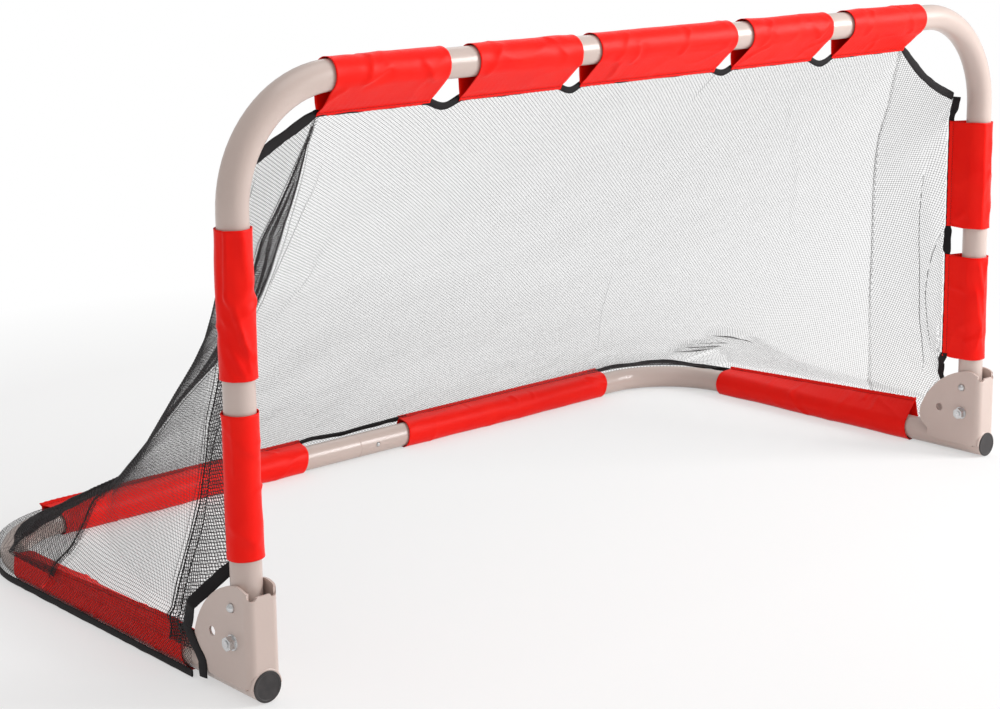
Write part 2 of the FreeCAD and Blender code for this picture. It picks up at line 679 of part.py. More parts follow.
def snap_joints():
    """Snap buttons and leaf springs inside the two joints in the middle."""
    width, length = value("Sizes.snap_spring_width"), value("Sizes.snap_spring_length")
    for label, (y, z), out in JOINTS:
        # The spring's bend points to -X; one leg carries the button, the other rests on the wall.
        turn = FreeCAD.Rotation(out, (-X).cross(out), -X, "XYZ")
        at = ("Sizes.snap_offset", y, z)
        named(moved(snap_button(), at, FreeCAD.Rotation(X, out)), f"{label}_button")
        legs = (value(SNAP_SEAT), value(f"{SPIGOT_BORE} - Sizes.spring_play"))
        strip = leaf_spring(legs, 1.5 * width, length, width)
        base = (value(at[0]) + 0.75 * width, value(y), value(z))
        feature(strip, f"{label}_spring", base, turn)


def tube_plug(depth):
    """A plug along +X: a flange with an eased rim and a shallow recess, and a hollow insert."""
    flange, rim = "Sizes.plug_flange", "0.6"
    corners = [
        ("0", "0"),
        (f"{flange} - 0.3", "0"),
        (f"{flange} - 0.3", f"{TUBE_R} * 0.8"),
        (flange, f"{TUBE_R} * 0.84"),
        (flange, f"{TUBE_R} - {rim}"),
        (f"{flange} - {rim}", TUBE_R),
        ("0", TUBE_R),
        ("0", f"{BORE_R}"),
        (f"-{depth} + 2", f"{BORE_R}"),
        (f"-{depth}", f"{BORE_R} - 1"),
        (f"-{depth}", f"{BORE_R} - 2.5"),
        ("-2", f"{BORE_R} - 2.5"),
        ("-2", "0"),
    ]
    return revolve(sketch("Plug", corners, {4: (rim, True)}))


def plugs():
    """Plugs in the front ends of the base and in the feet of the posts."""
    forward = FreeCAD.Rotation(X, -Y)
    down = FreeCAD.Rotation(X, -Z)
    for name, side in SIDES:
        toe = (f"{side} * {POST_X}", "Sizes.post_plane - Sizes.toe_length", BASE_Z)
        named(moved(tube_plug("Sizes.toe_plug_depth"), toe, forward), f"base_plug_{name}")
        foot = (toe[0], "Sizes.post_plane", "Sizes.pivot_rise - Sizes.post_foot")
        named(moved(tube_plug("Sizes.foot_plug_depth"), foot, down), f"post_plug_{name}")


def sleeve(label, length, flap, base, outwards, towards_net, flat=False):
    """A loose cloth sleeve with the flap that is sewn to the mesh.

    outwards is the side that the flap lies on, and towards_net the way that the net pulls.
    """
    along_tube = outwards.cross(towards_net)
    turn = FreeCAD.Rotation(outwards, towards_net, along_tube, "XYZ")
    slack, cloth = "Sizes.sleeve_slack", "Sizes.sleeve_cloth"
    centre = ("0", slack, "0")
    outer = cylinder(SLEEVE_R, length, centre)
    inner = cylinder(f"{TUBE_R} + {slack}", length, centre)
    strip = box(cloth, f"{flap} - {slack}", length, (f"{SLEEVE_R} - {cloth}", slack, "0"))
    cloth_body = cut(fuse(outer, strip), inner)
    placed = moved(cloth_body, base, turn)
    if flat:
        span, corner = "2 * Sizes.post_spacing", "-Sizes.post_spacing"
        placed = cut(placed, box(span, span, "Sizes.tube_od", (corner, corner, "-Sizes.tube_od")))
    return named(placed, label)


def sleeves():
    """The cloth sleeves on crossbar, posts, arms and back tube."""
    row = (
        ("far_left", "-Sizes.outer_sleeve_place", "Sizes.short_sleeve"),
        ("left", "-Sizes.inner_sleeve_place", "Sizes.short_sleeve"),
        ("middle", "0", "Sizes.middle_sleeve"),
        ("right", "Sizes.inner_sleeve_place", "Sizes.short_sleeve"),
        ("far_right", "Sizes.outer_sleeve_place", "Sizes.short_sleeve"),
    )
    for name, centre, length in row:
        end = (f"Sizes.sleeve_shift + {centre} + {length} / 2", "Sizes.post_plane", "Sizes.crossbar_rise")
        flap = f"({TUBE_R} + Sizes.crossbar_flap)"
        sleeve(f"crossbar_sleeve_{name}", length, flap, end, Y, -Z)
    for name, side in SIDES:
        out = FreeCAD.Vector(side, 0, 0)
        x = f"{side} * {POST_X}"
        length = "Sizes.short_sleeve"
        flap = f"({TUBE_R} + Sizes.post_flap)"
        for level, rise in (("low", "Sizes.low_sleeve_rise"), ("high", "Sizes.high_sleeve_rise")):
            end = (x, "Sizes.post_plane", rise if side < 0 else f"{rise} + {length}")
            sleeve(f"post_sleeve_{name}_{level}", length, flap, end, -out, Y)
        length = "(Sizes.base_depth - Sizes.bend_radius - Sizes.arm_sleeve_start - Sizes.arm_sleeve_end)"
        near = "Sizes.post_plane + Sizes.arm_sleeve_start"
        end = (x, near if side < 0 else f"{near} + {length}", BASE_Z)
        sleeve(f"arm_sleeve_{name}", length, "Sizes.arm_flap", end, out, Z, True)
        length = "Sizes.back_sleeve_length"
        start = "Sizes.back_sleeve_start" if side > 0 else f"-Sizes.back_sleeve_start - {length}"
        end = (f"Sizes.back_sleeve_shift + {start}", BACK_Y, BASE_Z)
        sleeve(f"back_sleeve_{name}", length, "Sizes.back_flap", end, Y, Z, True)


def u_wall(inner, outer, low, high, front):
    """A wall round the outside of the base, open in front, between two offsets from its axis."""
    half, bend = value(POST_X), value("Sizes.bend_radius")
    back = value(BACK_Y)
    corner_x, corner_y = half - bend, back - bend

    def path(offset):
        radius, x, y = bend + offset, half + offset, back + offset
        lift = radius * math.sqrt(0.5)
        start = FreeCAD.Vector(-x, front, low)
        turn = FreeCAD.Vector(-x, corner_y, low)
        edges = [Part.LineSegment(start, turn).toShape()]
        middle = FreeCAD.Vector(-corner_x - lift, corner_y + lift, low)
        after = FreeCAD.Vector(-corner_x, y, low)
        edges.append(Part.Arc(turn, middle, after).toShape())
        before = FreeCAD.Vector(corner_x, y, low)
        edges.append(Part.LineSegment(after, before).toShape())
        middle = FreeCAD.Vector(corner_x + lift, corner_y + lift, low)
        end = FreeCAD.Vector(x, corner_y, low)
        edges.append(Part.Arc(before, middle, end).toShape())
        edges.append(Part.LineSegment(end, FreeCAD.Vector(x, front, low)).toShape())
        return edges

    ends = [
        Part.LineSegment(
            FreeCAD.Vector(s * (half + inner), front, low), FreeCAD.Vector(s * (half + outer), front, low)
        ).toShape()
        for s in (-1, 1)
    ]
    face = Part.Face(Part.Wire(Part.__sortEdges__(path(inner) + path(outer) + ends)))
    return face.extrude(FreeCAD.Vector(0, 0, high - low))


def stretch(start, end, count):
    """Points in equal steps from one point towards another, without the last one."""
    return [start + (end - start) * (step / count) for step in range(count)]


def net_measures():
    """The lines that the panels of the net share, and the arc of their front edges."""
    offset, thick = value(NET_OFFSET), value("Sizes.net_thickness")
    post_y = value("Sizes.post_plane")
    hem_top, throat = value("Sizes.hem_top"), value("Sizes.low_sleeve_rise")
    reach = value("Sizes.outer_sleeve_place + Sizes.short_sleeve / 2")
    flap_y = post_y + value(f"{TUBE_R} + Sizes.post_flap")
    front = [
        (post_y + value("Sizes.net_front"), hem_top),
        (post_y + value("Sizes.net_bulge"), (hem_top + throat) / 2),
        (flap_y, throat),
    ]
    return {
        "offset": offset,
        "thick": thick,
        "knee": value("Sizes.knee_rise"),
        "throat": throat,
        "side_x": value(POST_X) + offset + thick / 2,
        "corner_x": value(f"{POST_X} - Sizes.bend_radius"),
        "corner_y": value(f"{BACK_Y} - Sizes.bend_radius"),
        "flap_x": value(f"{POST_X} - {SLEEVE_R} + Sizes.sleeve_cloth / 2"),
        "flap_y": flap_y,
        "flap_top": value("Sizes.high_sleeve_rise + Sizes.short_sleeve + Sizes.mesh_bar"),
        "top_y": post_y + value(f"{SLEEVE_R} - Sizes.sleeve_cloth"),
        "top_z": value(f"Sizes.crossbar_rise - {TUBE_R} - Sizes.crossbar_flap"),
        "top_x": {side: reach + side * value("Sizes.sleeve_shift") for _, side in SIDES},
        "shoulder_x": value(f"{POST_X} - {TUBE_R} / 2"),
        "shoulder": value("Sizes.net_shoulder"),
        "front": Part.Arc(*[FreeCAD.Vector(*point, 0) for point in front]).toShape().Curve,
    }


def front_edge(at, side, height):
    """The point of the net's front edge at a height: outside the bracket, then in to the flap."""
    circle = at["front"]
    y = circle.Center.x + math.sqrt(circle.Radius**2 - (height - circle.Center.y) ** 2)
    clear = value("Sizes.net_clear")
    share = max(height - clear, 0.0) / (at["throat"] - clear)
    x = at["side_x"] + (at["flap_x"] - at["side_x"]) * share
    return FreeCAD.Vector(side * x, y, height)


def net_borders(at, side):
    """The net's upper and lower edge on one side, each as points with their outward directions.

    Both run from the front edge round the corner, and stop before the back panel starts.
    """
    out, middle = FreeCAD.Vector(side, 0, 0), at["top_y"] + at["thick"] / 2
    low = FreeCAD.Vector(side * at["flap_x"], at["flap_y"], at["throat"])
    high = FreeCAD.Vector(side * at["flap_x"], at["flap_y"], at["flap_top"])
    shoulder = FreeCAD.Vector(side * at["shoulder_x"], middle, at["shoulder"])
    flap_end = FreeCAD.Vector(side * at["top_x"][side], middle, at["top_z"])
    upper = stretch(low, high, SIDE_GAPS - 1) + [high] + stretch(shoulder, flap_end, CORNER_GAPS)
    bend = FreeCAD.Vector(side * at["side_x"], at["corner_y"], at["knee"])
    lower = stretch(front_edge(at, side, at["knee"]), bend, SIDE_GAPS)
    centre = FreeCAD.Vector(side * at["corner_x"], at["corner_y"], at["knee"])
    away = [out] * SIDE_GAPS
    for step in range(CORNER_GAPS):
        angle = math.pi / 2 * step / CORNER_GAPS
        ray = FreeCAD.Vector(side * math.cos(angle), math.sin(angle), 0)
        lower.append(centre + ray * (at["side_x"] - at["corner_x"]))
        away.append(ray)
    return list(zip(upper, [out] * SIDE_GAPS + [Y] * CORNER_GAPS)), list(zip(lower, away))


def back_borders(at):
    """The upper and lower edge of the back panel, with both ends."""
    y, z = at["top_y"] + at["thick"] / 2, at["top_z"]
    left, right = FreeCAD.Vector(-at["top_x"][-1], y, z), FreeCAD.Vector(at["top_x"][1], y, z)
    upper = stretch(left, right, BACK_GAPS) + [right]
    back = value(BACK_Y) + at["offset"] + at["thick"] / 2
    left, right = [FreeCAD.Vector(s * at["corner_x"], back, at["knee"]) for s in (-1, 1)]
    lower = stretch(left, right, BACK_GAPS) + [right]
    return [(point, Y) for point in upper], [(point, Y) for point in lower]


def settled_net(at):
    """The knots of the taut net and their outward directions, column by column.

    Each free knot settles between its four neighbours, and hangs a little below them.
    """
    (upper, lower), (back_upper, back_lower) = net_borders(at, -1), back_borders(at)
    right_upper, right_lower = net_borders(at, 1)
    upper += back_upper + right_upper[::-1]
    lower += back_lower + right_lower[::-1]
    knots = [stretch(a, b, GAPS_DOWN) + [b] for (a, _), (b, _) in zip(upper, lower)]
    heights = [
        at["throat"] + (at["knee"] - at["throat"]) * step / GAPS_DOWN for step in range(GAPS_DOWN + 1)
    ]
    knots[0] = [front_edge(at, -1, z) for z in heights]
    knots[-1] = [front_edge(at, 1, z) for z in heights]
    inner = [(n, row) for n in range(1, len(knots) - 1) for row in range(1, GAPS_DOWN)]
    sag = Z * value("Sizes.net_sag")
    for _ in range(SETTLING_ROUNDS):
        for n, row in inner:
            beside = knots[n - 1][row] + knots[n + 1][row]
            above = knots[n][row - 1] + knots[n][row + 1]
            knots[n][row] = (beside + above) / 4 - sag
    away = [[a] * GAPS_DOWN + [b] for (_, a), (_, b) in zip(upper, lower)]
    for n, row in inner:
        across = knots[n + 1][row] - knots[n - 1][row]
        away[n][row] = across.cross(knots[n][row + 1] - knots[n][row - 1]).normalize()
    return knots, away


def slab(outer, inner, openings=False):
    """A solid between two grids of points, of flat triangles.

    With openings, every second cell of every second row is left open.
    """
    columns, rows = len(outer) - 1, len(outer[0]) - 1

    def solid(n, row):
        inside = 0 <= n < columns and 0 <= row < rows
        return inside and not (openings and n % 2 and row % 2)

    triangles = []
    for n in range(columns):
        for row in range(rows):
            if not solid(n, row):
                continue
            ring = ((n, row), (n + 1, row), (n + 1, row + 1), (n, row + 1))
            top = [outer[i][j] for i, j in ring]
            under = [inner[i][j] for i, j in ring]
            triangles += [(top[0], top[1], top[2]), (top[0], top[2], top[3])]
            triangles += [(under[0], under[2], under[1]), (under[0], under[3], under[2])]
            beyond = ((n, row - 1), (n + 1, row), (n, row + 1), (n - 1, row))
            for edge, neighbour in enumerate(beyond):
                if solid(*neighbour):
                    continue
                after = (edge + 1) % 4
                # Opposite walls are split alike, so that panels meet face to face.
                if edge < 2:
                    triangles.append((top[edge], under[edge], under[after]))
                    triangles.append((top[edge], under[after], top[after]))
                else:
                    triangles.append((top[edge], under[edge], top[after]))
                    triangles.append((under[edge], under[after], top[after]))
    shell = Part.makeShell([Part.Face(Part.makePolygon([a, b, c, a])) for a, b, c in triangles])
    shell.sewShape()
    return Part.makeSolid(shell)


def bar_places(low, high, pitches):
    """Both edges of each bar between two borders of the mesh, as a cell and a share of it."""
    share = value("Sizes.mesh_bar") / 2 * len(pitches) / sum(pitches)
    inner = [(cell, place) for cell in range(low, high) for place in (share, 1 - share)]
    return [(low, 0.0)] + inner + [(high - 1, 1.0)]


def between(grid, column, row):
    """What a grid of points holds at a place between four of them."""
    (n, across), (m, down) = column, row
    upper = grid[n][m] + (grid[n + 1][m] - grid[n][m]) * across
    lower = grid[n][m + 1] + (grid[n + 1][m + 1] - grid[n][m + 1]) * across
    return upper + (lower - upper) * down


def mesh_panel(label, at, net, first, last, rows):
    """The mesh between two columns of knots: bars that cross at the knots."""
    knots, away = net
    widths = [
        knots[n][row].distanceToPoint(knots[n + 1][row])
        for n in range(first, last)
        for row in range(GAPS_DOWN + 1)
    ]
    columns = bar_places(first, last, widths)
    half = at["thick"] / 2
    middle = [[between(knots, c, r) for r in rows] for c in columns]
    lift = [[between(away, c, r) * half for r in rows] for c in columns]
    outer = [[a + b for a, b in zip(*pair)] for pair in zip(middle, lift)]
    inner = [[a - b for a, b in zip(*pair)] for pair in zip(middle, lift)]
    feature(slab(outer, inner, True), label)


def net():
    """The mesh with its hem and edge tapes, simple closed solids of the real outer shape."""
    at = net_measures()
    offset, thick = at["offset"], at["thick"]
    tape_front = value("Sizes.post_plane + Sizes.net_front - Sizes.front_tape_width")
    hem_top, hem_bottom = value("Sizes.hem_top"), value("Sizes.hem_bottom")
    hem = (value("Sizes.hem_thickness") - thick) / 2
    skirt_front = front_edge(at, 1, at["knee"]).y
    feature(u_wall(offset, offset + thick, hem_top, at["knee"], skirt_front), "net_skirt")
    feature(u_wall(offset - hem, offset + thick + hem, hem_bottom, hem_top, tape_front), "net_hem_tape")
    knots, away = settled_net(at)
    rises = [a.distanceToPoint(b) for column in knots for a, b in zip(column, column[1:])]
    rows = bar_places(0, GAPS_DOWN, rises)
    panels = (
        ("net_side_panel_left", SIDE_GAPS),
        ("net_corner_left", CORNER_GAPS),
        ("net_back_panel", BACK_GAPS),
        ("net_corner_right", CORNER_GAPS),
        ("net_side_panel_right", SIDE_GAPS),
    )
    first = 0
    for label, gaps in panels:
        mesh_panel(label, at, (knots, away), first, first + gaps, rows)
        first += gaps
    front_tape(at, "left", -1, [between(knots, (0, 0.0), row) for row in rows])
    front_tape(at, "right", 1, [between(knots, (first - 1, 1.0), row) for row in rows])
    top_tape(at)


def front_tape(at, name, side, edge):
    """The tape on a front edge of the mesh, from the hem up to the post's flap."""
    rear = edge + [front_edge(at, side, value("Sizes.hem_top"))]
    front = [point - Y * value("Sizes.front_tape_width") for point in rear]
    strips = [front, rear] if side < 0 else [rear, front]
    out, thick = FreeCAD.Vector(side, 0, 0), at["thick"] / 2
    cloth = value("Sizes.sleeve_cloth")
    outer = [[point + out * (thick + cloth) for point in strip] for strip in strips]
    inner = [[point - out * thick for point in strip] for strip in strips]
    feature(slab(outer, inner), f"net_front_tape_{name}")


def top_tape(at):
    """The tape of the net's top edge where it shows: between the flaps and across both bends."""
    cloth, width = value("Sizes.sleeve_cloth"), value("Sizes.tape_width")
    y, low = at["top_y"], at["top_z"]
    shift, half = value("Sizes.sleeve_shift"), value("Sizes.short_sleeve / 2")
    inner, outer = value("Sizes.inner_sleeve_place"), value("Sizes.outer_sleeve_place")
    middle = value("Sizes.middle_sleeve / 2")
    spans = [(middle, inner - half), (inner + half, outer - half)]
    spans += [(-b, -a) for a, b in spans]
    pieces = [Part.makeBox(b - a, cloth, width, FreeCAD.Vector(shift + a, y, low)) for a, b in spans]
    for side in (-1, 1):
        start = side * at["top_x"][side]
        end, foot = side * at["shoulder_x"], at["shoulder"]
        corners = [(start, low), (start, low + width), (end, foot + width), (end, foot)]
        vectors = [FreeCAD.Vector(a, y, b) for a, b in corners + corners[:1]]
        face = Part.Face(Part.makePolygon(vectors))
        pieces.append(face.extrude(FreeCAD.Vector(0, cloth, 0)))
    feature(Part.makeCompound(pieces), "net_top_tape")


def check(parts):
    """Stops with a plain message if anything in the document failed."""
    for obj in doc.Objects:
        if "Invalid" in obj.State or "Error" in obj.State:
            raise RuntimeError(f"{obj.Name} ({obj.Label}) failed: {obj.State}")
    for obj in parts:
        if obj.Shape.isNull() or not obj.Shape.isValid() or not obj.Shape.Solids:
            raise RuntimeError(f"{obj.Label} has no valid solid")


def main():
    base_tubes()
    hoop_tubes()
    hinges()
    snap_joints()
    plugs()
    sleeves()
    net()
    doc.recompute()
    check(PARTS)
    os.makedirs("parts", exist_ok=True)
    for obj in PARTS:
        obj.Shape.exportStep(f"parts/{obj.Label}.step")
        print(f"{obj.Label}: {len(obj.Shape.Solids)} solids, {obj.Shape.Volume:.0f} mm3")


main()
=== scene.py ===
"""Visible model of a folding hockey goal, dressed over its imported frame.

The steel parts keep their CAD meshes and get finishes. The cloth sleeves, the knitted net and the
black edge tapes are made here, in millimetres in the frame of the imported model, and written to
meshes in metres.
"""

from __future__ import annotations

import logging
import math
import random
from dataclasses import dataclass, field, replace
from enum import Enum
from typing import Callable, Sequence

import bpy
import numpy as np
from mathutils import Matrix, Vector, noise

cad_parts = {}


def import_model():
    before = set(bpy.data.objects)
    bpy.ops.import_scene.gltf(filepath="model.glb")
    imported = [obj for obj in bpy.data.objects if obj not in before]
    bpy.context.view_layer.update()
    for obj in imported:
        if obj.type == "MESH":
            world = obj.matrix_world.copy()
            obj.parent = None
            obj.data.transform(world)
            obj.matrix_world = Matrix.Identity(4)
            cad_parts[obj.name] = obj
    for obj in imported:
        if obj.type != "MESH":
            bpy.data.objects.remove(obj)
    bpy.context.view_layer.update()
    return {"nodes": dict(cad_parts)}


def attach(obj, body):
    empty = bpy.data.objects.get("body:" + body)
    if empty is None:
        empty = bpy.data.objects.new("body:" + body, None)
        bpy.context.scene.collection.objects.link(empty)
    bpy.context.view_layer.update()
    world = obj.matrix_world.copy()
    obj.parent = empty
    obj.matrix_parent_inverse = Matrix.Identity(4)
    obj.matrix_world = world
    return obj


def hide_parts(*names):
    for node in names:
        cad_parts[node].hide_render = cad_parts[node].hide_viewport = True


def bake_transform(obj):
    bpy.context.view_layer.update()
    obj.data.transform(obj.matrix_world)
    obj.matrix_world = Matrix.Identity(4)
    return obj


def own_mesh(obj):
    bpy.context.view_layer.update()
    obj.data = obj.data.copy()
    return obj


log = logging.getLogger("goal")

MM = 0.001
Colour = tuple[float, float, float, float]


class Side(Enum):
    """The two sides of the goal, with the sign of x on each."""

    LEFT = -1
    RIGHT = 1

    @property
    def word(self) -> str:
        """The side's name, as the nodes spell it."""
        return self.name.lower()


class Slot(Enum):
    """The record's material slots."""

    COAT = "white_powder_coat"
    PLUG = "black_plug_plastic"
    ZINC = "zinc_plated_steel"
    SPRING = "spring_steel"
    SLEEVE = "red_sleeve_fabric"
    TAPE = "black_tape"
    MESH = "black_net_mesh"


# Shader graphs


class Value:
    """A number socket that takes part in Python expressions."""

    def __init__(self, graph: "Graph", socket: bpy.types.NodeSocket) -> None:
        """Keep the socket and the graph that it belongs to."""
        self.graph = graph
        self.socket = socket

    def _math(self, operation: str, first: object, second: object) -> "Value":
        """Add a Math node.

        Args:
            operation: The node's operation.
            first: Its first value or link.
            second: Its second value or link.

        Returns:
            The node's result.
        """
        return self.graph.value("ShaderNodeMath", {"operation": operation}, {0: first, 1: second})

    def __add__(self, other: object) -> "Value":
        """Sum with a number or a value."""
        return self._math("ADD", self, other)

    __radd__ = __add__

    def __sub__(self, other: object) -> "Value":
        """Difference from a number or a value."""
        return self._math("SUBTRACT", self, other)

    def __rsub__(self, other: object) -> "Value":
        """A number less this value."""
        return self._math("SUBTRACT", other, self)

    def __mul__(self, other: object) -> "Value":
        """Product with a number or a value."""
        return self._math("MULTIPLY", self, other)

    __rmul__ = __mul__

    def power(self, exponent: float) -> "Value":
        """This value to a power."""
        return self._math("POWER", self, exponent)

    def wave(self) -> "Value":
        """The sine of this value, in radians."""
        return self._math("SINE", self, 0.0)

    def least(self, other: object) -> "Value":
        """The smaller of this and another value."""
        return self._math("MINIMUM", self, other)

    def most(self, other: object) -> "Value":
        """The larger of this and another value."""
        return self._math("MAXIMUM", self, other)


class Graph:
    """One material's node tree, with a Principled shader at its end."""

    def __init__(self, name: str) -> None:
        """Make the material and clear its tree down to the shader and the output."""
        self.material = bpy.data.materials.new(name)
        self.material.use_nodes = True
        self.tree = self.material.node_tree
        self.shader = self.tree.nodes["Principled BSDF"]

    def node(
        self,
        kind: str,
        settings: dict[str, object] | None = None,
        inputs: dict[str | int, object] | None = None,
    ) -> bpy.types.Node:
        """Add a node.

        Args:
            kind: The node's type.
            settings: Its properties, set first. "stops" holds a colour ramp's stops.
            inputs: Values or links of its sockets, by name or index.

        Returns:
            The new node.
        """
        made = self.tree.nodes.new(kind)
        for name, value in (settings or {}).items():
            if name == "stops":
                self._stops(made.color_ramp, value)
            else:
                setattr(made, name, value)
        for key, value in (inputs or {}).items():
            self.feed(made.inputs[key], value)
        return made

    def feed(self, socket: bpy.types.NodeSocket, value: object) -> None:
        """Link or set one socket."""
        if isinstance(value, Value):
            value = value.socket
        if isinstance(value, bpy.types.NodeSocket):
            self.tree.links.new(value, socket)
        else:
            socket.default_value = value

    def value(
        self, kind: str, settings: dict[str, object], inputs: dict[str | int, object], output: int | str = 0
    ) -> Value:
        """Add a node and wrap one of its number outputs.

        Args:
            kind: The node's type.
            settings: Its properties.
            inputs: Values or links of its sockets.
            output: The output to wrap.

        Returns:
            The wrapped output.
        """
        return Value(self, self.node(kind, settings, inputs).outputs[output])

    @staticmethod
    def _stops(ramp: bpy.types.ColorRamp, stops: Sequence[tuple[float, Colour]]) -> None:
        """Give a colour ramp its stops."""
        while len(ramp.elements) > 1:
            ramp.elements.remove(ramp.elements[-1])
        for index, (place, colour) in enumerate(stops):
            element = ramp.elements[0] if index == 0 else ramp.elements.new(place)
            element.position = place
            element.color = colour

    def place(self) -> bpy.types.NodeSocket:
        """The Object coordinates."""
        return self.node("ShaderNodeTexCoord").outputs["Object"]

    def uv(self) -> tuple[Value, Value]:
        """The piece's own UV map, in metres of cloth, as two numbers."""
        split = self.node("ShaderNodeSeparateXYZ", {}, {0: self.node("ShaderNodeTexCoord").outputs["UV"]})
        return Value(self, split.outputs[0]), Value(self, split.outputs[1])

    def noise(self, scale: float, detail: float = 2.0, stretch: tuple[float, ...] = (1, 1, 1)) -> Value:
        """Noise on Object coordinates.

        Args:
            scale: Cycles in a metre.
            detail: Octaves.
            stretch: A scale for each axis.

        Returns:
            The noise, about 0 to 1.
        """
        mapped = self.node("ShaderNodeMapping", {}, {"Vector": self.place(), "Scale": stretch})
        inputs = {"Vector": mapped.outputs[0], "Scale": scale, "Detail": detail}
        return self.value("ShaderNodeTexNoise", {}, inputs)

    def blend_colour(self, factor: Value, low: Colour, high: Colour) -> bpy.types.NodeSocket:
        """A colour between two, by a factor."""
        ramp = self.node("ShaderNodeValToRGB", {"stops": [(0.0, low), (1.0, high)]}, {0: factor})
        return ramp.outputs[0]

    def relief(self, height: Value, distance: float, strength: float = 1.0) -> None:
        """Bump the surface by a height, in metres at full strength."""
        bump = self.node("ShaderNodeBump", {}, {"Height": height, "Distance": distance, "Strength": strength})
        self.feed(self.shader.inputs["Normal"], bump.outputs[0])

    def constants(self, **values: float) -> None:
        """Set sockets of the shader that are the same all over."""
        for name, value in values.items():
            self.shader.inputs[name.replace("_", " ").title().replace("Ior", "IOR")].default_value = value


# Finishes


@dataclass(frozen=True)
class PowderCoat:
    """White powder coat on steel, with orange peel and faint handling marks."""

    name: str = "white_powder_coat"
    clean: Colour = (0.62, 0.50, 0.45, 1)
    dull: Colour = (0.58, 0.46, 0.41, 1)
    peel_per_metre: float = 520.0

    def build(self) -> bpy.types.Material:
        """Make the material."""
        g = Graph(self.name)
        smudge = g.noise(9.0, 4.0)
        grain = g.noise(160.0, 3.0)
        marks = (smudge * 1.6 - 0.45).most(0.0).least(1.0)
        tone = marks * 0.75 + grain * 0.25
        g.feed(g.shader.inputs["Base Color"], g.blend_colour(tone, self.clean, self.dull))
        g.feed(g.shader.inputs["Roughness"], grain * 0.12 + smudge * 0.10 + 0.22)
        g.relief(g.noise(self.peel_per_metre, 1.5) * 0.7 + g.noise(60.0, 1.0) * 0.3, 0.00025, 0.35)
        g.constants(coat_weight=0.25, coat_roughness=0.12)
        return g.material


@dataclass(frozen=True)
class ZincPlate:
    """Bright zinc plate with fine rolling scratches and a light haze."""

    name: str = "zinc_plated_steel"
    bright: Colour = (0.74, 0.75, 0.77, 1)
    haze: Colour = (0.56, 0.56, 0.55, 1)

    def build(self) -> bpy.types.Material:
        """Make the material."""
        g = Graph(self.name)
        haze = g.noise(260.0, 4.0)
        scratch = g.noise(900.0, 2.0, (1.0, 0.08, 1.0))
        g.feed(g.shader.inputs["Base Color"], g.blend_colour(haze, self.bright, self.haze))
        g.feed(g.shader.inputs["Roughness"], haze * 0.22 + scratch * 0.14 + 0.12)
        g.relief(scratch * 0.6 + haze * 0.4, 0.00006, 0.4)
        g.constants(metallic=1.0)
        return g.material


@dataclass(frozen=True)
class SpringSteel:
    """Blued spring steel, oiled."""

    name: str = "spring_steel"
    blue: Colour = (0.20, 0.21, 0.24, 1)
    straw: Colour = (0.34, 0.29, 0.22, 1)

    def build(self) -> bpy.types.Material:
        """Make the material."""
        g = Graph(self.name)
        bands = g.noise(120.0, 3.0)
        g.feed(g.shader.inputs["Base Color"], g.blend_colour(bands, self.blue, self.straw))
        g.feed(g.shader.inputs["Roughness"], bands * 0.2 + 0.2)
        g.constants(metallic=1.0)
        return g.material


@dataclass(frozen=True)
class MouldedPlastic:
    """Black moulded plastic with a spark-eroded grain."""

    name: str = "black_plug_plastic"
    deep: Colour = (0.012, 0.011, 0.012, 1)
    dusty: Colour = (0.055, 0.047, 0.047, 1)

    def build(self) -> bpy.types.Material:
        """Make the material."""
        g = Graph(self.name)
        dust = g.noise(95.0, 5.0)
        g.feed(g.shader.inputs["Base Color"], g.blend_colour(dust * 1.3 - 0.2, self.deep, self.dusty))
        g.feed(g.shader.inputs["Roughness"], dust * 0.25 + 0.36)
        g.relief(g.noise(2200.0, 1.0), 0.00008, 0.5)
        return g.material


@dataclass(frozen=True)
class SatinCloth:
    """Red woven nylon: plain weave, a soft sheen, and random patches of a lighter red that paint in the sheen
    of lit satin.
    """

    name: str = "red_sleeve_fabric"
    full: Colour = (0.93, 0.0035, 0.001, 1)
    # The lighter red is painted sheen: the colour of lit satin.
    lighter: Colour = (1.0, 0.014, 0.005, 1)
    yarns_per_metre: float = 1900.0

    def build(self) -> bpy.types.Material:
        """Make the material."""
        g = Graph(self.name)
        u, v = g.uv()
        turn = 2 * math.pi * self.yarns_per_metre / 2
        weave = (u * turn).wave() * (v * turn).wave()
        slub = g.noise(420.0, 2.0, (1.0, 1.0, 0.25))
        # Random patches of the lighter red are painted sheen; the slub adds real yarn tone.
        sheen_patches = g.noise(26.0, 4.0)
        tone = (sheen_patches * 1.5 - 0.3).most(0.0).least(1.0) * 0.8 + slub * 0.2
        g.feed(g.shader.inputs["Base Color"], g.blend_colour(tone, self.full, self.lighter))
        g.feed(g.shader.inputs["Roughness"], weave * 0.05 + sheen_patches * 0.12 + 0.36)
        g.relief(weave * 0.5 + slub * 0.5, 0.00010, 0.55)
        g.constants(specular_ior_level=0.14)
        return g.material


@dataclass(frozen=True)
class Binding:
    """Black woven binding tape, ribbed across."""

    name: str = "black_tape"
    dark: Colour = (0.003, 0.003, 0.003, 1)
    worn: Colour = (0.016, 0.013, 0.015, 1)
    ribs_per_metre: float = 900.0

    def build(self) -> bpy.types.Material:
        """Make the material."""
        g = Graph(self.name)
        u, v = g.uv()
        rib = (v * (2 * math.pi * self.ribs_per_metre)).wave() * 0.5 + 0.5
        edge = (u * (2 * math.pi * 320.0)).wave() * 0.5 + 0.5
        fluff = g.noise(240.0, 4.0)
        g.feed(g.shader.inputs["Base Color"], g.blend_colour(fluff * 0.7 + rib * 0.3, self.dark, self.worn))
        g.feed(g.shader.inputs["Roughness"], fluff * 0.2 + 0.6)
        g.relief(rib * 0.6 + edge * 0.4, 0.00018, 0.7)
        g.constants(specular_ior_level=0.25)
        return g.material


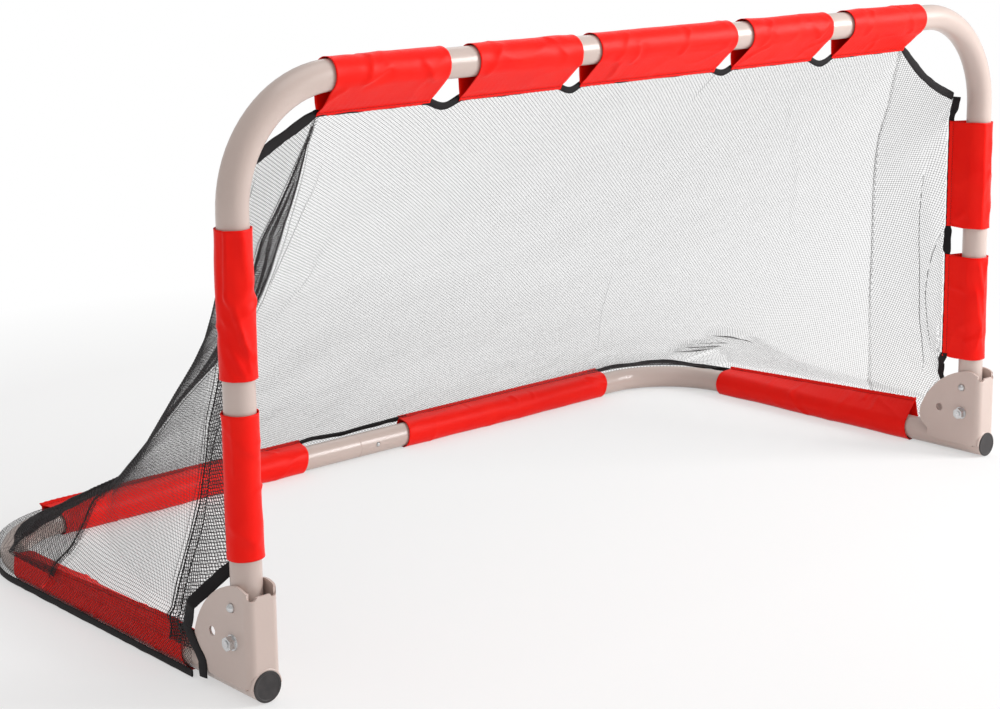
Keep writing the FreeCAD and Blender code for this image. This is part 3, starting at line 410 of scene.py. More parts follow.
@dataclass(frozen=True)
class Yarn:
    """Twisted synthetic yarn, for the net and for the seams."""

    name: str
    deep: Colour
    light: Colour
    twist_per_metre: float = 1400.0

    def build(self) -> bpy.types.Material:
        """Make the material."""
        g = Graph(self.name)
        fibre = g.noise(self.twist_per_metre, 2.0, (1.0, 0.6, 0.4))
        g.feed(g.shader.inputs["Base Color"], g.blend_colour(fibre, self.deep, self.light))
        g.feed(g.shader.inputs["Roughness"], fibre * 0.25 + 0.5)
        g.relief(fibre, 0.00008, 0.5)
        return g.material


@dataclass(frozen=True)
class Floor:
    """Pale floor that shows near white, keeps the goal's soft shadow and fades to white further out."""

    name: str = "floor"
    lit: Colour = (0.93, 0.925, 0.92, 1)
    shown: Colour = (1.0, 1.0, 1.0, 1)
    share: float = 0.5
    near: float = 0.95
    far: float = 1.5

    def build(self) -> bpy.types.Material:
        """Make the material."""
        g = Graph(self.name)
        g.shader.inputs["Base Color"].default_value = self.lit
        g.constants(roughness=0.9)
        split = g.node("ShaderNodeSeparateXYZ", {}, {0: g.place()})
        x, y = Value(g, split.outputs[0]), Value(g, split.outputs[1])
        away = (x * x + y * y).power(0.5)
        lighter = ((away - self.near) * (1.0 / (self.far - self.near))).most(0.0).least(1.0)
        path = g.node("ShaderNodeLightPath")
        rays = [Value(g, path.outputs[n]) for n in ("Is Camera Ray", "Is Glossy Ray", "Is Transmission Ray")]
        seen = (rays[0] + rays[1] + rays[2]).least(1.0) * (lighter * (1.0 - self.share) + self.share)
        glow = g.node("ShaderNodeEmission", {}, {"Color": self.shown, "Strength": 1.0})
        mix = g.node("ShaderNodeMixShader", {}, {0: seen, 1: g.shader.outputs[0], 2: glow.outputs[0]})
        g.feed(g.tree.nodes["Material Output"].inputs["Surface"], mix.outputs[0])
        return g.material


class Palette:
    """Every finish of the goal, each made once."""

    def __init__(self) -> None:
        """Build the materials."""
        self.by_slot: dict[Slot, bpy.types.Material] = {
            Slot.COAT: PowderCoat().build(),
            Slot.ZINC: ZincPlate().build(),
            Slot.SPRING: SpringSteel().build(),
            Slot.PLUG: MouldedPlastic().build(),
            Slot.SLEEVE: SatinCloth().build(),
            Slot.TAPE: Binding().build(),
            Slot.MESH: Yarn("black_net_yarn", (0.010, 0.009, 0.010, 1), (0.045, 0.040, 0.042, 1)).build(),
        }
        self.thread = Yarn("red_seam_thread", (0.22, 0.004, 0.004, 1), (0.46, 0.010, 0.008, 1)).build()


# Meshes


def ripple(points: np.ndarray, size: float, seed: float) -> np.ndarray:
    """Smooth noise at points.

    Args:
        points: Places, in millimetres, as rows.
        size: The length of one swell, in millimetres.
        seed: A shift that makes one pattern differ from another.

    Returns:
        A number from about -1 to 1 for each point.
    """
    shift = Vector((seed * 7.31, seed * 3.17, seed * 5.77))
    return np.array([noise.noise(Vector(p) / size + shift) for p in points.tolist()])


def smooth(t: np.ndarray) -> np.ndarray:
    """A smooth step from 0 to 1."""
    t = np.clip(t, 0.0, 1.0)
    return t * t * (3.0 - 2.0 * t)


def unit(vectors: np.ndarray) -> np.ndarray:
    """Rows scaled to length 1."""
    return vectors / np.maximum(np.linalg.norm(vectors, axis=-1, keepdims=True), 1e-9)


def distances(line: np.ndarray) -> np.ndarray:
    """How far along a line each of its points is, from 0."""
    return np.r_[0.0, np.cumsum(np.linalg.norm(np.diff(line, axis=0), axis=1))]


def read_along(at: np.ndarray, known: np.ndarray, rows: np.ndarray) -> np.ndarray:
    """Rows at places along a line, read between the places where they are known."""
    return np.stack([np.interp(at, known, rows[:, k]) for k in range(rows.shape[1])], 1)


def same(direction: tuple[float, float, float], count: int) -> np.ndarray:
    """One direction for each point of a line."""
    return np.repeat(np.array([direction]), count, 0)


def make_object(name: str, points: np.ndarray, faces: list, material: bpy.types.Material) -> bpy.types.Object:
    """Make a mesh object from points in millimetres.

    Args:
        name: The object's name.
        points: Rows of x, y, z in millimetres.
        faces: Lists of point indices, outwards.
        material: Its finish.

    Returns:
        The object, at the origin, with smooth faces.
    """
    mesh = bpy.data.meshes.new(name)
    mesh.from_pydata((points * MM).tolist(), [], faces)
    mesh.polygons.foreach_set("use_smooth", [True] * len(mesh.polygons))
    mesh.materials.append(material)
    mesh.update()
    made = bpy.data.objects.new(name, mesh)
    bpy.context.scene.collection.objects.link(made)
    return made


def finish_with(obj: bpy.types.Object, kind: str, **settings: object) -> None:
    """Add one modifier and apply it."""
    bpy.ops.object.select_all(action="DESELECT")
    bpy.context.view_layer.objects.active = obj
    obj.select_set(True)
    added = obj.modifiers.new(kind.lower(), kind)
    for name, value in settings.items():
        setattr(added, name, value)
    bpy.ops.object.modifier_apply(modifier=added.name)
    obj.select_set(False)


def grid_faces(rows: int, columns: int, closed: bool = False) -> list[tuple[int, int, int, int]]:
    """Quads of a grid of points stored row by row.

    Args:
        rows: Points along the first index.
        columns: Points along the second index.
        closed: Whether the second index comes round to its start.

    Returns:
        Quads of point indices.
    """
    last = columns if closed else columns - 1
    index = [[i * columns + j for j in range(columns)] for i in range(rows)]
    return [
        (here[j], here[(j + 1) % columns], below[(j + 1) % columns], below[j])
        for here, below in zip(index, index[1:])
        for j in range(last)
    ]


def lay_uv(obj: bpy.types.Object, coordinates: np.ndarray) -> None:
    """Give a mesh a UV map from one pair of numbers for each point, in millimetres."""
    layer = obj.data.uv_layers.new(name="cloth")
    index = np.empty(len(obj.data.loops), np.int32)
    obj.data.loops.foreach_get("vertex_index", index)
    layer.data.foreach_set("uv", (coordinates[index] * MM).astype(np.float32).ravel())


def round_band(
    centre: np.ndarray, across: np.ndarray, out: np.ndarray, width: np.ndarray, thick: float, sides: int = 12
) -> tuple[np.ndarray, list, np.ndarray]:
    """Sweep a flat rounded section along a line.

    Args:
        centre: Points along the middle of the band.
        across: The direction of its width at each point.
        out: The direction of its thickness at each point.
        width: Its width at each point.
        thick: Its thickness.
        sides: Points in a section.

    Returns:
        Points, faces and cloth coordinates.
    """
    turn = np.linspace(0.0, 2 * math.pi, sides, endpoint=False)
    flat = np.sign(np.cos(turn)) * np.abs(np.cos(turn)) ** 0.55
    deep = np.sin(turn)
    ring = (
        centre[:, None]
        + across[:, None] * (flat[None, :, None] * width[:, None, None] / 2)
        + out[:, None] * (deep[None, :, None] * thick / 2)
    )
    count = len(centre)
    steps = np.repeat(distances(centre)[:, None], sides, axis=1)
    cloth = np.stack([flat[None] * width[:, None] / 2, steps], axis=-1)
    faces: list = grid_faces(count, sides, closed=True)
    facing = np.cross(across[0], out[0]) @ (centre[1] - centre[0])
    if facing > 0:
        faces = [f[::-1] for f in faces]
    head, tail = list(range(sides)), list(range((count - 1) * sides, count * sides))
    faces += [head, tail[::-1]] if facing <= 0 else [head[::-1], tail]
    return ring.reshape(-1, 3), faces, cloth.reshape(-1, 2)


def thread(spots: np.ndarray, out: np.ndarray, radius: float) -> tuple[list[list[float]], list[list[int]]]:
    """Make one stitch: a short six-sided thread with closed ends.

    Args:
        spots: Points along the stitch, in millimetres.
        out: The way out of the cloth at each.
        radius: The thread's radius.

    Returns:
        Points and faces, numbered from 0.
    """
    heading = unit(np.gradient(spots, axis=0))
    beside = unit(np.cross(heading, out))
    over = np.cross(beside, heading)
    size = np.full(len(spots), radius)
    size[[0, -1]] *= 0.6
    turn = np.linspace(0.0, 2 * math.pi, 6, endpoint=False)
    ring = (
        spots[:, None]
        + beside[:, None] * (np.cos(turn)[None, :, None] * size[:, None, None])
        + over[:, None] * (np.sin(turn)[None, :, None] * size[:, None, None])
    )
    faces = [list(face[::-1]) for face in grid_faces(len(spots), 6, closed=True)]
    last = (len(spots) - 1) * 6
    faces += [list(range(6)), [last + i for i in reversed(range(6))]]
    return ring.reshape(-1, 3).tolist(), faces


# Sleeves


BACK, UP = Vector((0, 1, 0)), Vector((0, 0, 1))


@dataclass(frozen=True)
class Fold:
    """A crease across a sleeve, between two places given by angle about the tube and place along it."""

    start: tuple[float, float]
    end: tuple[float, float]
    height: float
    width: float = 3.5


@dataclass(frozen=True)
class Seam:
    """The stitches along both faces of a flap. A stitch's profile gives its run and its rise."""

    from_edge: float = 3.6
    start: float = 2.5
    stop: float = 3.5
    pitch: float = 3.4
    thread: float = 0.34
    profile: tuple[tuple[float, float], ...] = ((0.0, 0.45), (0.55, 0.95), (1.75, 0.95), (2.3, 0.45))


@dataclass
class Sleeve:
    """A cloth sleeve that wraps a tube and ends in a sewn flap where the net hangs.

    The cloth comes round the tube and its two layers meet in a flap. Sizes are in millimetres.
    start and end are places along the tube, flap and flap_end are the flap's tip about the tube's
    axis at both ends, and toward gives the two directions that the tip's numbers count in. sewn is
    the depth of the seam, and lowest keeps the cloth off the floor.
    """

    node: str
    body: str
    line: Callable[[np.ndarray], tuple[np.ndarray, np.ndarray | None]]
    start: float
    end: float
    flap: tuple[float, float]
    toward: tuple[Vector, Vector]
    flap_end: tuple[float, float] | None = None
    radius: float = 17.0
    sewn: float = 5.0
    wrinkle: float = 1.6
    slant_start: float = 0.0
    slant_end: float = 0.0
    seed: int = 1
    lowest: float | None = None
    step: float = 2.4
    around: int = 84
    loose: int = 0
    folds: tuple[Fold, ...] = ()
    cloth: float = 0.45
    layer: float = 0.35
    scallop: float = 0.022
    scallop_pitch: float = 7.4
    rim_wave: float = 0.9
    rim_swell: float = 21.0
    swells: tuple[float, float, float] = (38.0, 12.0, 52.0)
    seam: Seam = Seam()

    @property
    def length(self) -> float:
        """The sleeve's length along the tube."""
        return self.end - self.start

    def section(self, tip: np.ndarray) -> tuple[np.ndarray, np.ndarray, np.ndarray, np.ndarray]:
        """One section of the wrap, for the tube's axis at the origin.

        Args:
            tip: The end of the flap.

        Returns:
            Points of the section, their outward normals, how far each is down the flap from 0 to 1,
            and the length of cloth up to each.
        """
        aim = tip / np.linalg.norm(tip)
        side = np.array([-aim[1], aim[0]])
        knot = tip - aim * self.sewn
        reach = np.linalg.norm(knot)
        half = math.acos(min(1.0, self.radius / reach))
        straight = math.sqrt(max(reach**2 - self.radius**2, 0.0))
        edge = self.sewn + straight
        total = 2 * edge + self.radius * (2 * math.pi - 2 * half)
        at = np.linspace(0.0, total, self.around)
        points, normals, down = [], [], []
        for s in at:
            near = min(s, total - s)
            sign = 1.0 if s < total / 2 else -1.0
            if near < edge:
                lean = aim * math.cos(half) + side * sign * math.sin(half)
                if near < self.sewn:
                    place, outward = tip - aim * near + side * sign * self.layer, side * sign
                else:
                    share = (near - self.sewn) / max(straight, 1e-6)
                    place = knot + (lean * self.radius - knot) * share
                    place = place + side * sign * self.layer * (1 - share)
                    outward = lean
            else:
                angle = half + (s - edge) / self.radius
                outward = aim * math.cos(angle) + side * math.sin(angle)
                place = outward * self.radius
            points.append(place)
            normals.append(outward)
            down.append(max(0.0, 1.0 - near / edge))
        return np.array(points), np.array(normals), np.array(down), at

    def tension_folds(self) -> list[Fold]:
        """The sleeve's own folds and some loose ones that start at its seam."""
        draw = random.Random(self.seed)
        seam = math.degrees(math.atan2(self.flap[1], self.flap[0]))
        made = list(self.folds)
        for _ in range(self.loose):
            low = draw.uniform(self.start + 4, self.end - 4)
            lean = draw.uniform(-34.0, 34.0)
            first = seam + draw.choice((60.0, -60.0)) + draw.uniform(-20, 20)
            last = first + draw.uniform(50.0, 120.0) * (1 if draw.random() < 0.5 else -1)
            height, width = draw.uniform(1.2, 2.6), draw.uniform(2.0, 4.0)
            made.append(Fold((first, low), (last, low + lean), height, width))
        return made

    def build(self, palette: Palette) -> bpy.types.Object:
        """Make the sleeve and the stitches along its seam.

        Args:
            palette: The finishes.

        Returns:
            The finished sleeve.
        """
        count = max(8, int(self.length / self.step))
        rows, cloth, outwards = [], [], []
        first, last = np.array(self.flap), np.array(self.flap_end or self.flap)
        one, two = (np.array(v) for v in self.toward)
        folds = self.tension_folds()
        for t in np.linspace(0.0, 1.0, count):
            tip = first + (last - first) * t
            tip = tip * (1 - self.scallop * abs(math.sin(math.pi * t * self.length / self.scallop_pitch)))
            points, normals, down, at = self.section(tip)
            slant = (points @ unit(tip)) / np.linalg.norm(tip)
            run = self.start + self.length * t
            run = run + self.slant_start * slant * (1 - t) + self.slant_end * slant * t
            spots = np.stack([at, np.full_like(at, t * 9), at * 0], 1)
            run = run + self.rim_wave * ripple(spots, self.rim_swell, self.seed)
            centre, local = self.line(run)
            out_one = one if local is None else local
            outward = normals[:, :1] * out_one + normals[:, 1:] * two
            rise = self.stand_off(points, run, down, t, at, folds)
            rows.append(centre + points[:, :1] * out_one + points[:, 1:] * two + outward * rise[:, None])
            outwards.append(outward)
            cloth.append(np.stack([at, run], axis=1))
        places = np.array(rows)
        if self.lowest is not None:
            places[..., 2] = np.maximum(places[..., 2], self.lowest)
        faces = grid_faces(count, self.around)
        finish = palette.by_slot[Slot.SLEEVE]
        made = make_object(self.node + "_cloth", places.reshape(-1, 3), faces, finish)
        self.turn_out(made)
        lay_uv(made, np.array(cloth).reshape(-1, 2))
        finish_with(made, "SOLIDIFY", thickness=self.cloth * MM, offset=1.0)
        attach(made, self.body)
        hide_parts(self.node)
        seam = self.stitches(places, np.array(outwards), at, palette)
        flat = (float(at[-1]) * MM, self.length * MM)
        self.tube()
        return made

    def tube(self) -> str:
        """The node of the tube that the sleeve wraps."""
        low = "hoop" if self.body == "hoop" else "base"
        side = "left" if "left" in self.node else "right"
        return f"{low}_tube_{side}"

    def turn_out(self, obj: bpy.types.Object) -> None:
        """Turn the faces away from the tube if they point to it."""
        mesh = obj.data
        face = mesh.polygons[len(mesh.polygons) // 2 + self.around // 2]
        centre = self.line(np.array([self.start + self.length * 0.5]))[0][0] * MM
        if face.normal.dot(face.center - Vector(centre)) < 0:
            mesh.flip_normals()

    def stand_off(
        self, points: np.ndarray, run: np.ndarray, down: np.ndarray, t: float, at: np.ndarray,
        folds: list[Fold],
    ) -> np.ndarray:
        """How far the cloth stands off at the points of one section.

        Args:
            points: The section's points about the tube's axis.
            run: Their place along the tube.
            down: How far down the flap each is.
            t: The section's share of the sleeve's length.
            at: The length of cloth up to each point.
            folds: The sleeve's creases.

        Returns:
            A distance outwards for each point.
        """
        own = np.full_like(at, self.seed * 40.0)
        slack = np.stack([at * 0.8 + run * 0.35, run * 0.55 - at * 0.25, own], axis=1)
        wide_swell, fine_swell, ridge_swell = self.swells
        wide = ripple(slack, wide_swell, self.seed)
        fine = ripple(slack, fine_swell, self.seed + 9)
        ridge = np.clip(1.0 - np.abs(ripple(slack, ridge_swell, self.seed + 4)) * 5.0, 0.0, 1.0)
        rim = math.exp(-min(t, 1 - t) * self.length / 3.0)
        rise = 0.55 + 0.55 * wide + ridge**2 * 0.75 + fine * 0.16 + rim * 0.25
        angle = np.degrees(np.arctan2(points[:, 1], points[:, 0]))
        for crease in folds:
            rise = rise + self.crease_height(angle, run, crease) / self.wrinkle
        tight = np.clip((1.0 - down) * 3.0, 0.12, 1.0)
        return np.maximum(rise * self.wrinkle * tight * 0.8, 0.05)

    def crease_height(self, angle: np.ndarray, run: np.ndarray, crease: Fold) -> np.ndarray:
        """The height of one crease over a section: a sharp ridge with a hollow along one side."""
        scale = math.radians(1.0) * self.radius
        a0, r0 = crease.start
        a1, r1 = crease.end
        along = np.array([(a1 - a0) * scale, r1 - r0])
        span = max(float(np.linalg.norm(along)), 1e-6)
        along = along / span
        turned = (angle - a0 + 180.0 + 360.0) % 360.0 - 180.0
        x, y = turned * scale, run - r0
        here = (x * along[0] + y * along[1]) / span
        off = x * along[1] - y * along[0]
        ends = smooth((here + 0.12) * 5) * smooth((1.12 - here) * 5)
        ridge = np.exp(-np.abs(off) / crease.width)
        hollow = np.exp(-(((off - 2.2 * crease.width) / (1.6 * crease.width)) ** 2))
        return crease.height * (ridge - 0.55 * hollow) * ends

    def stitches(
        self, places: np.ndarray, outwards: np.ndarray, at: np.ndarray, palette: Palette
    ) -> bpy.types.Object:
        """Sew the flap's two layers together with a row of stitches on each face.

        Args:
            places: The cloth's points, section by section.
            outwards: The normals there.
            at: The length of cloth up to each point of a section.
            palette: The finishes.

        Returns:
            The stitches.
        """
        seam = self.seam
        runs, rises = np.array(seam.profile).T
        near = int(np.searchsorted(at, seam.from_edge))
        far = int(np.searchsorted(at, at[-1] - seam.from_edge)) - 1
        points, faces = [], []
        for index in (near, far):
            line, out = places[:, index], outwards[:, index]
            step = distances(line)
            for begin in np.arange(seam.start, step[-1] - seam.stop, seam.pitch):
                spot = read_along(begin + runs, step, line)
                lift = read_along(begin + runs, step, out)
                ring, quads = thread(spot + lift * rises[:, None], lift, seam.thread)
                faces += [[i + len(points) for i in q] for q in quads]
                points += ring
        made = make_object(self.node + "_stitches", np.array(points), faces, palette.thread)
        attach(made, self.body)
        return made


@dataclass
class SleeveSet:
    """All thirteen sleeves and the seams along their flaps.

    The places of the tubes' axes are in millimetres: y and z of the crossbar, x and y of a post,
    x and z of an arm, and the centre's x and y and the radius of the base's bend.
    """

    palette: Palette
    crossbar: tuple[float, float] = (-275.2, 595.0)
    post: tuple[float, float] = (593.5, -275.2)
    base: tuple[float, float] = (593.5, 16.575)
    bend: tuple[float, float, float] = (473.5, 164.8, 120.0)
    sleeves: list[Sleeve] = field(default_factory=list)

    def along_crossbar(self, run: np.ndarray) -> tuple[np.ndarray, None]:
        """Points of the crossbar's axis."""
        y, z = (np.full_like(run, place) for place in self.crossbar)
        return np.stack([run, y, z], axis=1), None

    def along_post(self, side: Side) -> Callable:
        """A function that gives points of a post's axis."""

        def line(run: np.ndarray) -> tuple[np.ndarray, None]:
            """Points at heights."""
            x = np.full_like(run, side.value * self.post[0])
            return np.stack([x, np.full_like(run, self.post[1]), run], axis=1), None

        return line

    def along_arm(self, side: Side) -> Callable:
        """A function that gives points of a base arm's axis."""

        def line(run: np.ndarray) -> tuple[np.ndarray, None]:
            """Points at distances back."""
            x = np.full_like(run, side.value * self.base[0])
            return np.stack([x, run, np.full_like(run, self.base[1])], axis=1), None

        return line

    def along_back(self, run: np.ndarray) -> tuple[np.ndarray, np.ndarray]:
        """Points of the back tube's axis by x, round the bends past its straight part, and the way out."""
        straight_x, bend_y, radius = self.bend
        past = np.clip(np.abs(run) - straight_x, 0.0, None) / radius
        sign = np.sign(run)
        x = np.where(past > 0, sign * (straight_x + radius * np.sin(past)), run)
        y = bend_y + radius * np.cos(past)
        out = np.stack([sign * np.sin(past), np.cos(past), np.zeros_like(run)], axis=1)
        return np.stack([x, y, np.full_like(run, self.base[1])], axis=1), out

    def plan(self) -> None:
        """List every sleeve with its place, its flap and its folds."""
        self.plan_crossbar()
        for side in Side:
            self.plan_post(side)
            self.plan_arm(side)
        self.plan_back()

    def plan_crossbar(self) -> None:
        """List the crossbar's five sleeves, from left to right."""
        bars = {
            "far_left": (
                (-480.5, -336.5),
                Fold((110, -432), (200, -440), 1.6, 3.0), Fold((150, -372), (240, -352), 1.3),
            ),
            "left": (
                (-297.0, -153.0),
                Fold((120, -262), (235, -286), 1.8, 4.0), Fold((100, -196), (190, -176), 1.3),
            ),
            "middle": (
                (-124.5, 92.5), Fold((120, -78), (230, -98), 1.4), Fold((130, 18), (230, 2), 1.6, 3.0),
            ),
            "right": (
                (121.0, 265.0), Fold((120, 160), (235, 138), 1.4), Fold((140, 226), (230, 246), 1.2),
            ),
            "far_right": (
                (304.5, 448.5), Fold((120, 350), (230, 332), 1.5), Fold((140, 414), (235, 428), 1.3),
            ),
        }
        for index, (name, (span, *folds)) in enumerate(bars.items()):
            self.sleeves.append(
                Sleeve(
                    f"crossbar_sleeve_{name}", "hoop", self.along_crossbar, *span, (18.2, -41.6),
                    toward=(BACK, UP), seed=index + 1, wrinkle=1.3, loose=3, folds=tuple(folds),
                )
            )

    def plan_post(self, side: Side) -> None:
        """List a post's two sleeves."""
        left = side is Side.LEFT
        spans = {
            "low": (140.5, 284.5) if left else (132.0, 272.0),
            "high": (317.5, 461.5) if left else (310.5, 451.5),
        }
        wrinkles, seeds = {"low": 1.3, "high": 1.8}, {"low": 134, "high": 311}
        for name, (start, end) in spans.items():
            self.sleeves.append(
                Sleeve(
                    f"post_sleeve_{side.word}_{name}", "hoop", self.along_post(side), start, end,
                    (18.4, 36.0 if left else 33.0), toward=(Vector((-side.value, 0, 0)), BACK),
                    seed=seeds[name] + side.value, wrinkle=wrinkles[name], loose=2,
                    folds=self.post_folds(side, name),
                )
            )

    def plan_arm(self, side: Side) -> None:
        """List the sleeve of an arm of the base."""
        self.sleeves.append(
            Sleeve(
                f"arm_sleeve_{side.word}", "base", self.along_arm(side), -183.2, 162.8, (17.4, 38.0),
                flap_end=(17.4, 22.0), toward=(Vector((side.value, 0, 0)), UP), seed=15 + side.value,
                wrinkle=1.3, lowest=0.3, slant_start=7.0, loose=7,
            )
        )

    def plan_back(self) -> None:
        """List the two sleeves of the back tube."""
        halves = (("left", -490.0, -115.0, 18, -8.0), ("right", 59.0, 448.0, 23, 6.0))
        for name, start, end, seed, lean in halves:
            self.sleeves.append(
                Sleeve(
                    f"back_sleeve_{name}", "base", self.along_back, start, end, (17.4, 22.0),
                    toward=(BACK, UP), seed=seed, wrinkle=1.5, lowest=0.3, slant_start=lean,
                    slant_end=8.0, loose=7,
                )
            )

    @staticmethod
    def post_folds(side: Side, name: str) -> tuple[Fold, ...]:
        """The creases that show on a post's sleeve."""
        if side is Side.LEFT and name == "high":
            return (
                Fold((-150, 461), (-152, 398), 3.6, 2.2), Fold((-152, 400), (-105, 358), 3.2, 2.6),
                Fold((-165, 378), (-60, 336), 3.0, 3.2), Fold((-128, 390), (-80, 324), 2.4, 2.6),
                Fold((-95, 456), (-70, 406), 1.8, 4.0), Fold((-150, 352), (-100, 322), 2.2, 3.0),
            )
        if side is Side.LEFT:
            return (
                Fold((-140, 256), (-60, 242), 1.6, 3.4), Fold((-170, 176), (-80, 156), 1.6, 4.0),
                Fold((-150, 280), (-148, 226), 1.6, 2.6),
            )
        if name == "high":
            return (
                Fold((-62, 450), (-60, 318), 2.6, 3.0), Fold((-110, 428), (-80, 348), 1.8, 4.0),
                Fold((-96, 392), (-58, 356), 1.6, 3.0),
            )
        return (
            Fold((-58, 262), (-90, 196), 3.2, 2.6), Fold((-48, 226), (-84, 150), 2.8, 3.2),
            Fold((-100, 268), (-76, 214), 2.2, 2.8), Fold((-84, 190), (-56, 150), 2.0, 3.0),
        )

    def build(self) -> None:
        """Make the sleeves and their seams."""
        self.plan()
        for sleeve in self.sleeves:
            made = sleeve.build(self.palette)
            log.info("sleeve %s: %d faces", made.name, len(made.data.polygons))


# Net


Curve = Sequence[tuple[float, float]]
HEM_RISE = 5.0
LEAST_COVER = 0.3001


@dataclass
class Knit:
    """The knitted mesh: two families of yarn that cross in lozenges.

    The pitch is between yarns of one family, which lean from the cloth's width by an angle in
    degrees. A yarn has half its thickness and the rise of its line, and the second family's yarns
    have a share of that thickness. The shift keeps yarns off the cloth's own lines.
    """

    pitch: float = 3.27
    lean: float = 39.0
    yarn: float = 0.2
    lift: float = 0.13
    second: float = 0.55
    shift: float = 0.1371

    @property
    def cover(self) -> float:
        """The area of yarn in each unit of net, one side of it."""
        return (1 + self.second) * (self.yarn * 3 * math.sqrt(3) / 2) / self.pitch

    def strands(self, points: np.ndarray, cloth: np.ndarray, normals: np.ndarray) -> tuple[np.ndarray, list]:
        """Lay both families of yarn over a surface.

        Args:
            points: A grid of points, rows by columns by 3.
            cloth: The flat cloth's coordinates at each, rows by columns by 2.
            normals: The surface's normals at each.

        Returns:
            Points and faces of all the yarns.
        """
        laid, sides, caps, offset = [], [], [], 0
        for sign in (1.0, -1.0):
            lean = math.radians(self.lean) * sign
            across = np.array([-math.sin(lean), math.cos(lean)]) / self.pitch
            along = np.array([math.cos(lean), math.sin(lean)])
            yarn = self.yarn * (1.0 if sign > 0 else self.second)
            phase = cloth @ across + self.shift
            rings, quads, ends = self.family(points, normals, phase, cloth @ along, self.lift * sign, yarn)
            laid.append(rings)
            sides.append(quads + offset)
            caps.append(ends + offset)
            offset += len(rings)
        return np.concatenate(laid), np.concatenate(sides).tolist() + np.concatenate(caps).tolist()

    def family(
        self, points: np.ndarray, normals: np.ndarray, phase: np.ndarray, run: np.ndarray, lift: float,
        yarn: float,
    ) -> tuple[np.ndarray, np.ndarray, np.ndarray]:
        """Trace one family of yarns where a phase over the surface is whole.

        Args:
            points: The grid of points.
            normals: The normals there.
            phase: The count of yarns across, at each point.
            run: The distance along the yarns, at each point.
            lift: How far the yarn's line stands off the surface.
            yarn: Half of the yarn's thickness.

        Returns:
            Points, the side faces and the end faces.
        """
        rows, columns = phase.shape
        index = np.arange(rows * columns).reshape(rows, columns)
        a, b, c, d = index[:-1, :-1], index[:-1, 1:], index[1:, 1:], index[1:, :-1]
        triangles = np.concatenate(
            [np.stack([a, b, c], -1).reshape(-1, 3), np.stack([a, c, d], -1).reshape(-1, 3)]
        )
        flat, ahead = phase.ravel(), run.ravel()
        low = np.ceil(flat[triangles].min(1)).astype(int)
        high = np.floor(flat[triangles].max(1)).astype(int)
        times = np.maximum(high - low + 1, 0)
        which = np.repeat(np.arange(len(triangles)), times)
        level = low[which] + (np.arange(len(which)) - np.repeat(np.cumsum(times) - times, times))
        corners = triangles[which]
        ends, base = [], level.min() if len(level) else 0
        span = int(level.max() - base + 1) if len(level) else 1
        size = rows * columns
        turns = ((0, 1), (1, 2), (2, 0))
        for i, j in turns:
            p, q = np.minimum(corners[:, i], corners[:, j]), np.maximum(corners[:, i], corners[:, j])
            crossed = (flat[p] < level) != (flat[q] < level)
            key = (p.astype(np.int64) * size + q) * span + (level - base)
            ends.append(np.where(crossed, key, -1))
        keys = np.stack(ends, 1)
        good = (keys >= 0).sum(1) == 2
        keys = keys[good]
        pair = np.sort(keys, axis=1)[:, 1:]
        names, segment = np.unique(pair, return_inverse=True)
        segment = segment.reshape(-1, 2)
        mark = names // span
        whole = names % span + base
        p, q = mark // size, mark % size
        share = ((whole - flat[p]) / (flat[q] - flat[p]))[:, None]
        place = points.reshape(-1, 3)[p] * (1 - share) + points.reshape(-1, 3)[q] * share
        facing = unit(normals.reshape(-1, 3)[p] * (1 - share) + normals.reshape(-1, 3)[q] * share)
        far = ahead[p] * (1 - share[:, 0]) + ahead[q] * share[:, 0]
        swap = far[segment[:, 0]] > far[segment[:, 1]]
        segment[swap] = segment[swap][:, ::-1]
        step = place[segment[:, 1]] - place[segment[:, 0]]
        heading = np.zeros_like(place)
        np.add.at(heading, segment[:, 0], step)
        np.add.at(heading, segment[:, 1], step)
        heading = unit(heading)
        facing = unit(facing - heading * (facing * heading).sum(1, keepdims=True))
        beside = np.cross(heading, facing)
        ring = []
        for angle in (90.0, 210.0, 330.0):
            turn = math.radians(angle)
            ring.append(place + facing * (lift + yarn * math.sin(turn)) - beside * yarn * math.cos(turn))
        ring_points = np.stack(ring, 1).reshape(-1, 3)
        first, second = segment[:, 0] * 3, segment[:, 1] * 3
        sides = np.concatenate(
            [np.stack([first + i, first + j, second + j, second + i], 1) for i, j in turns]
        )
        starts = np.setdiff1d(segment[:, 0], segment[:, 1]) * 3
        stops = np.setdiff1d(segment[:, 1], segment[:, 0]) * 3
        caps = np.concatenate(
            [np.stack([starts + 2, starts + 1, starts], 1), np.stack([stops, stops + 1, stops + 2], 1)]
        )
        return ring_points, sides, caps


def spaced(start: Sequence[float], end: Sequence[float], count: int) -> np.ndarray:
    """Points at equal steps from a start, without the end."""
    first = np.array(start, float)
    return first + (np.array(end, float) - first) * np.linspace(0.0, 1.0, count + 1)[:-1, None]


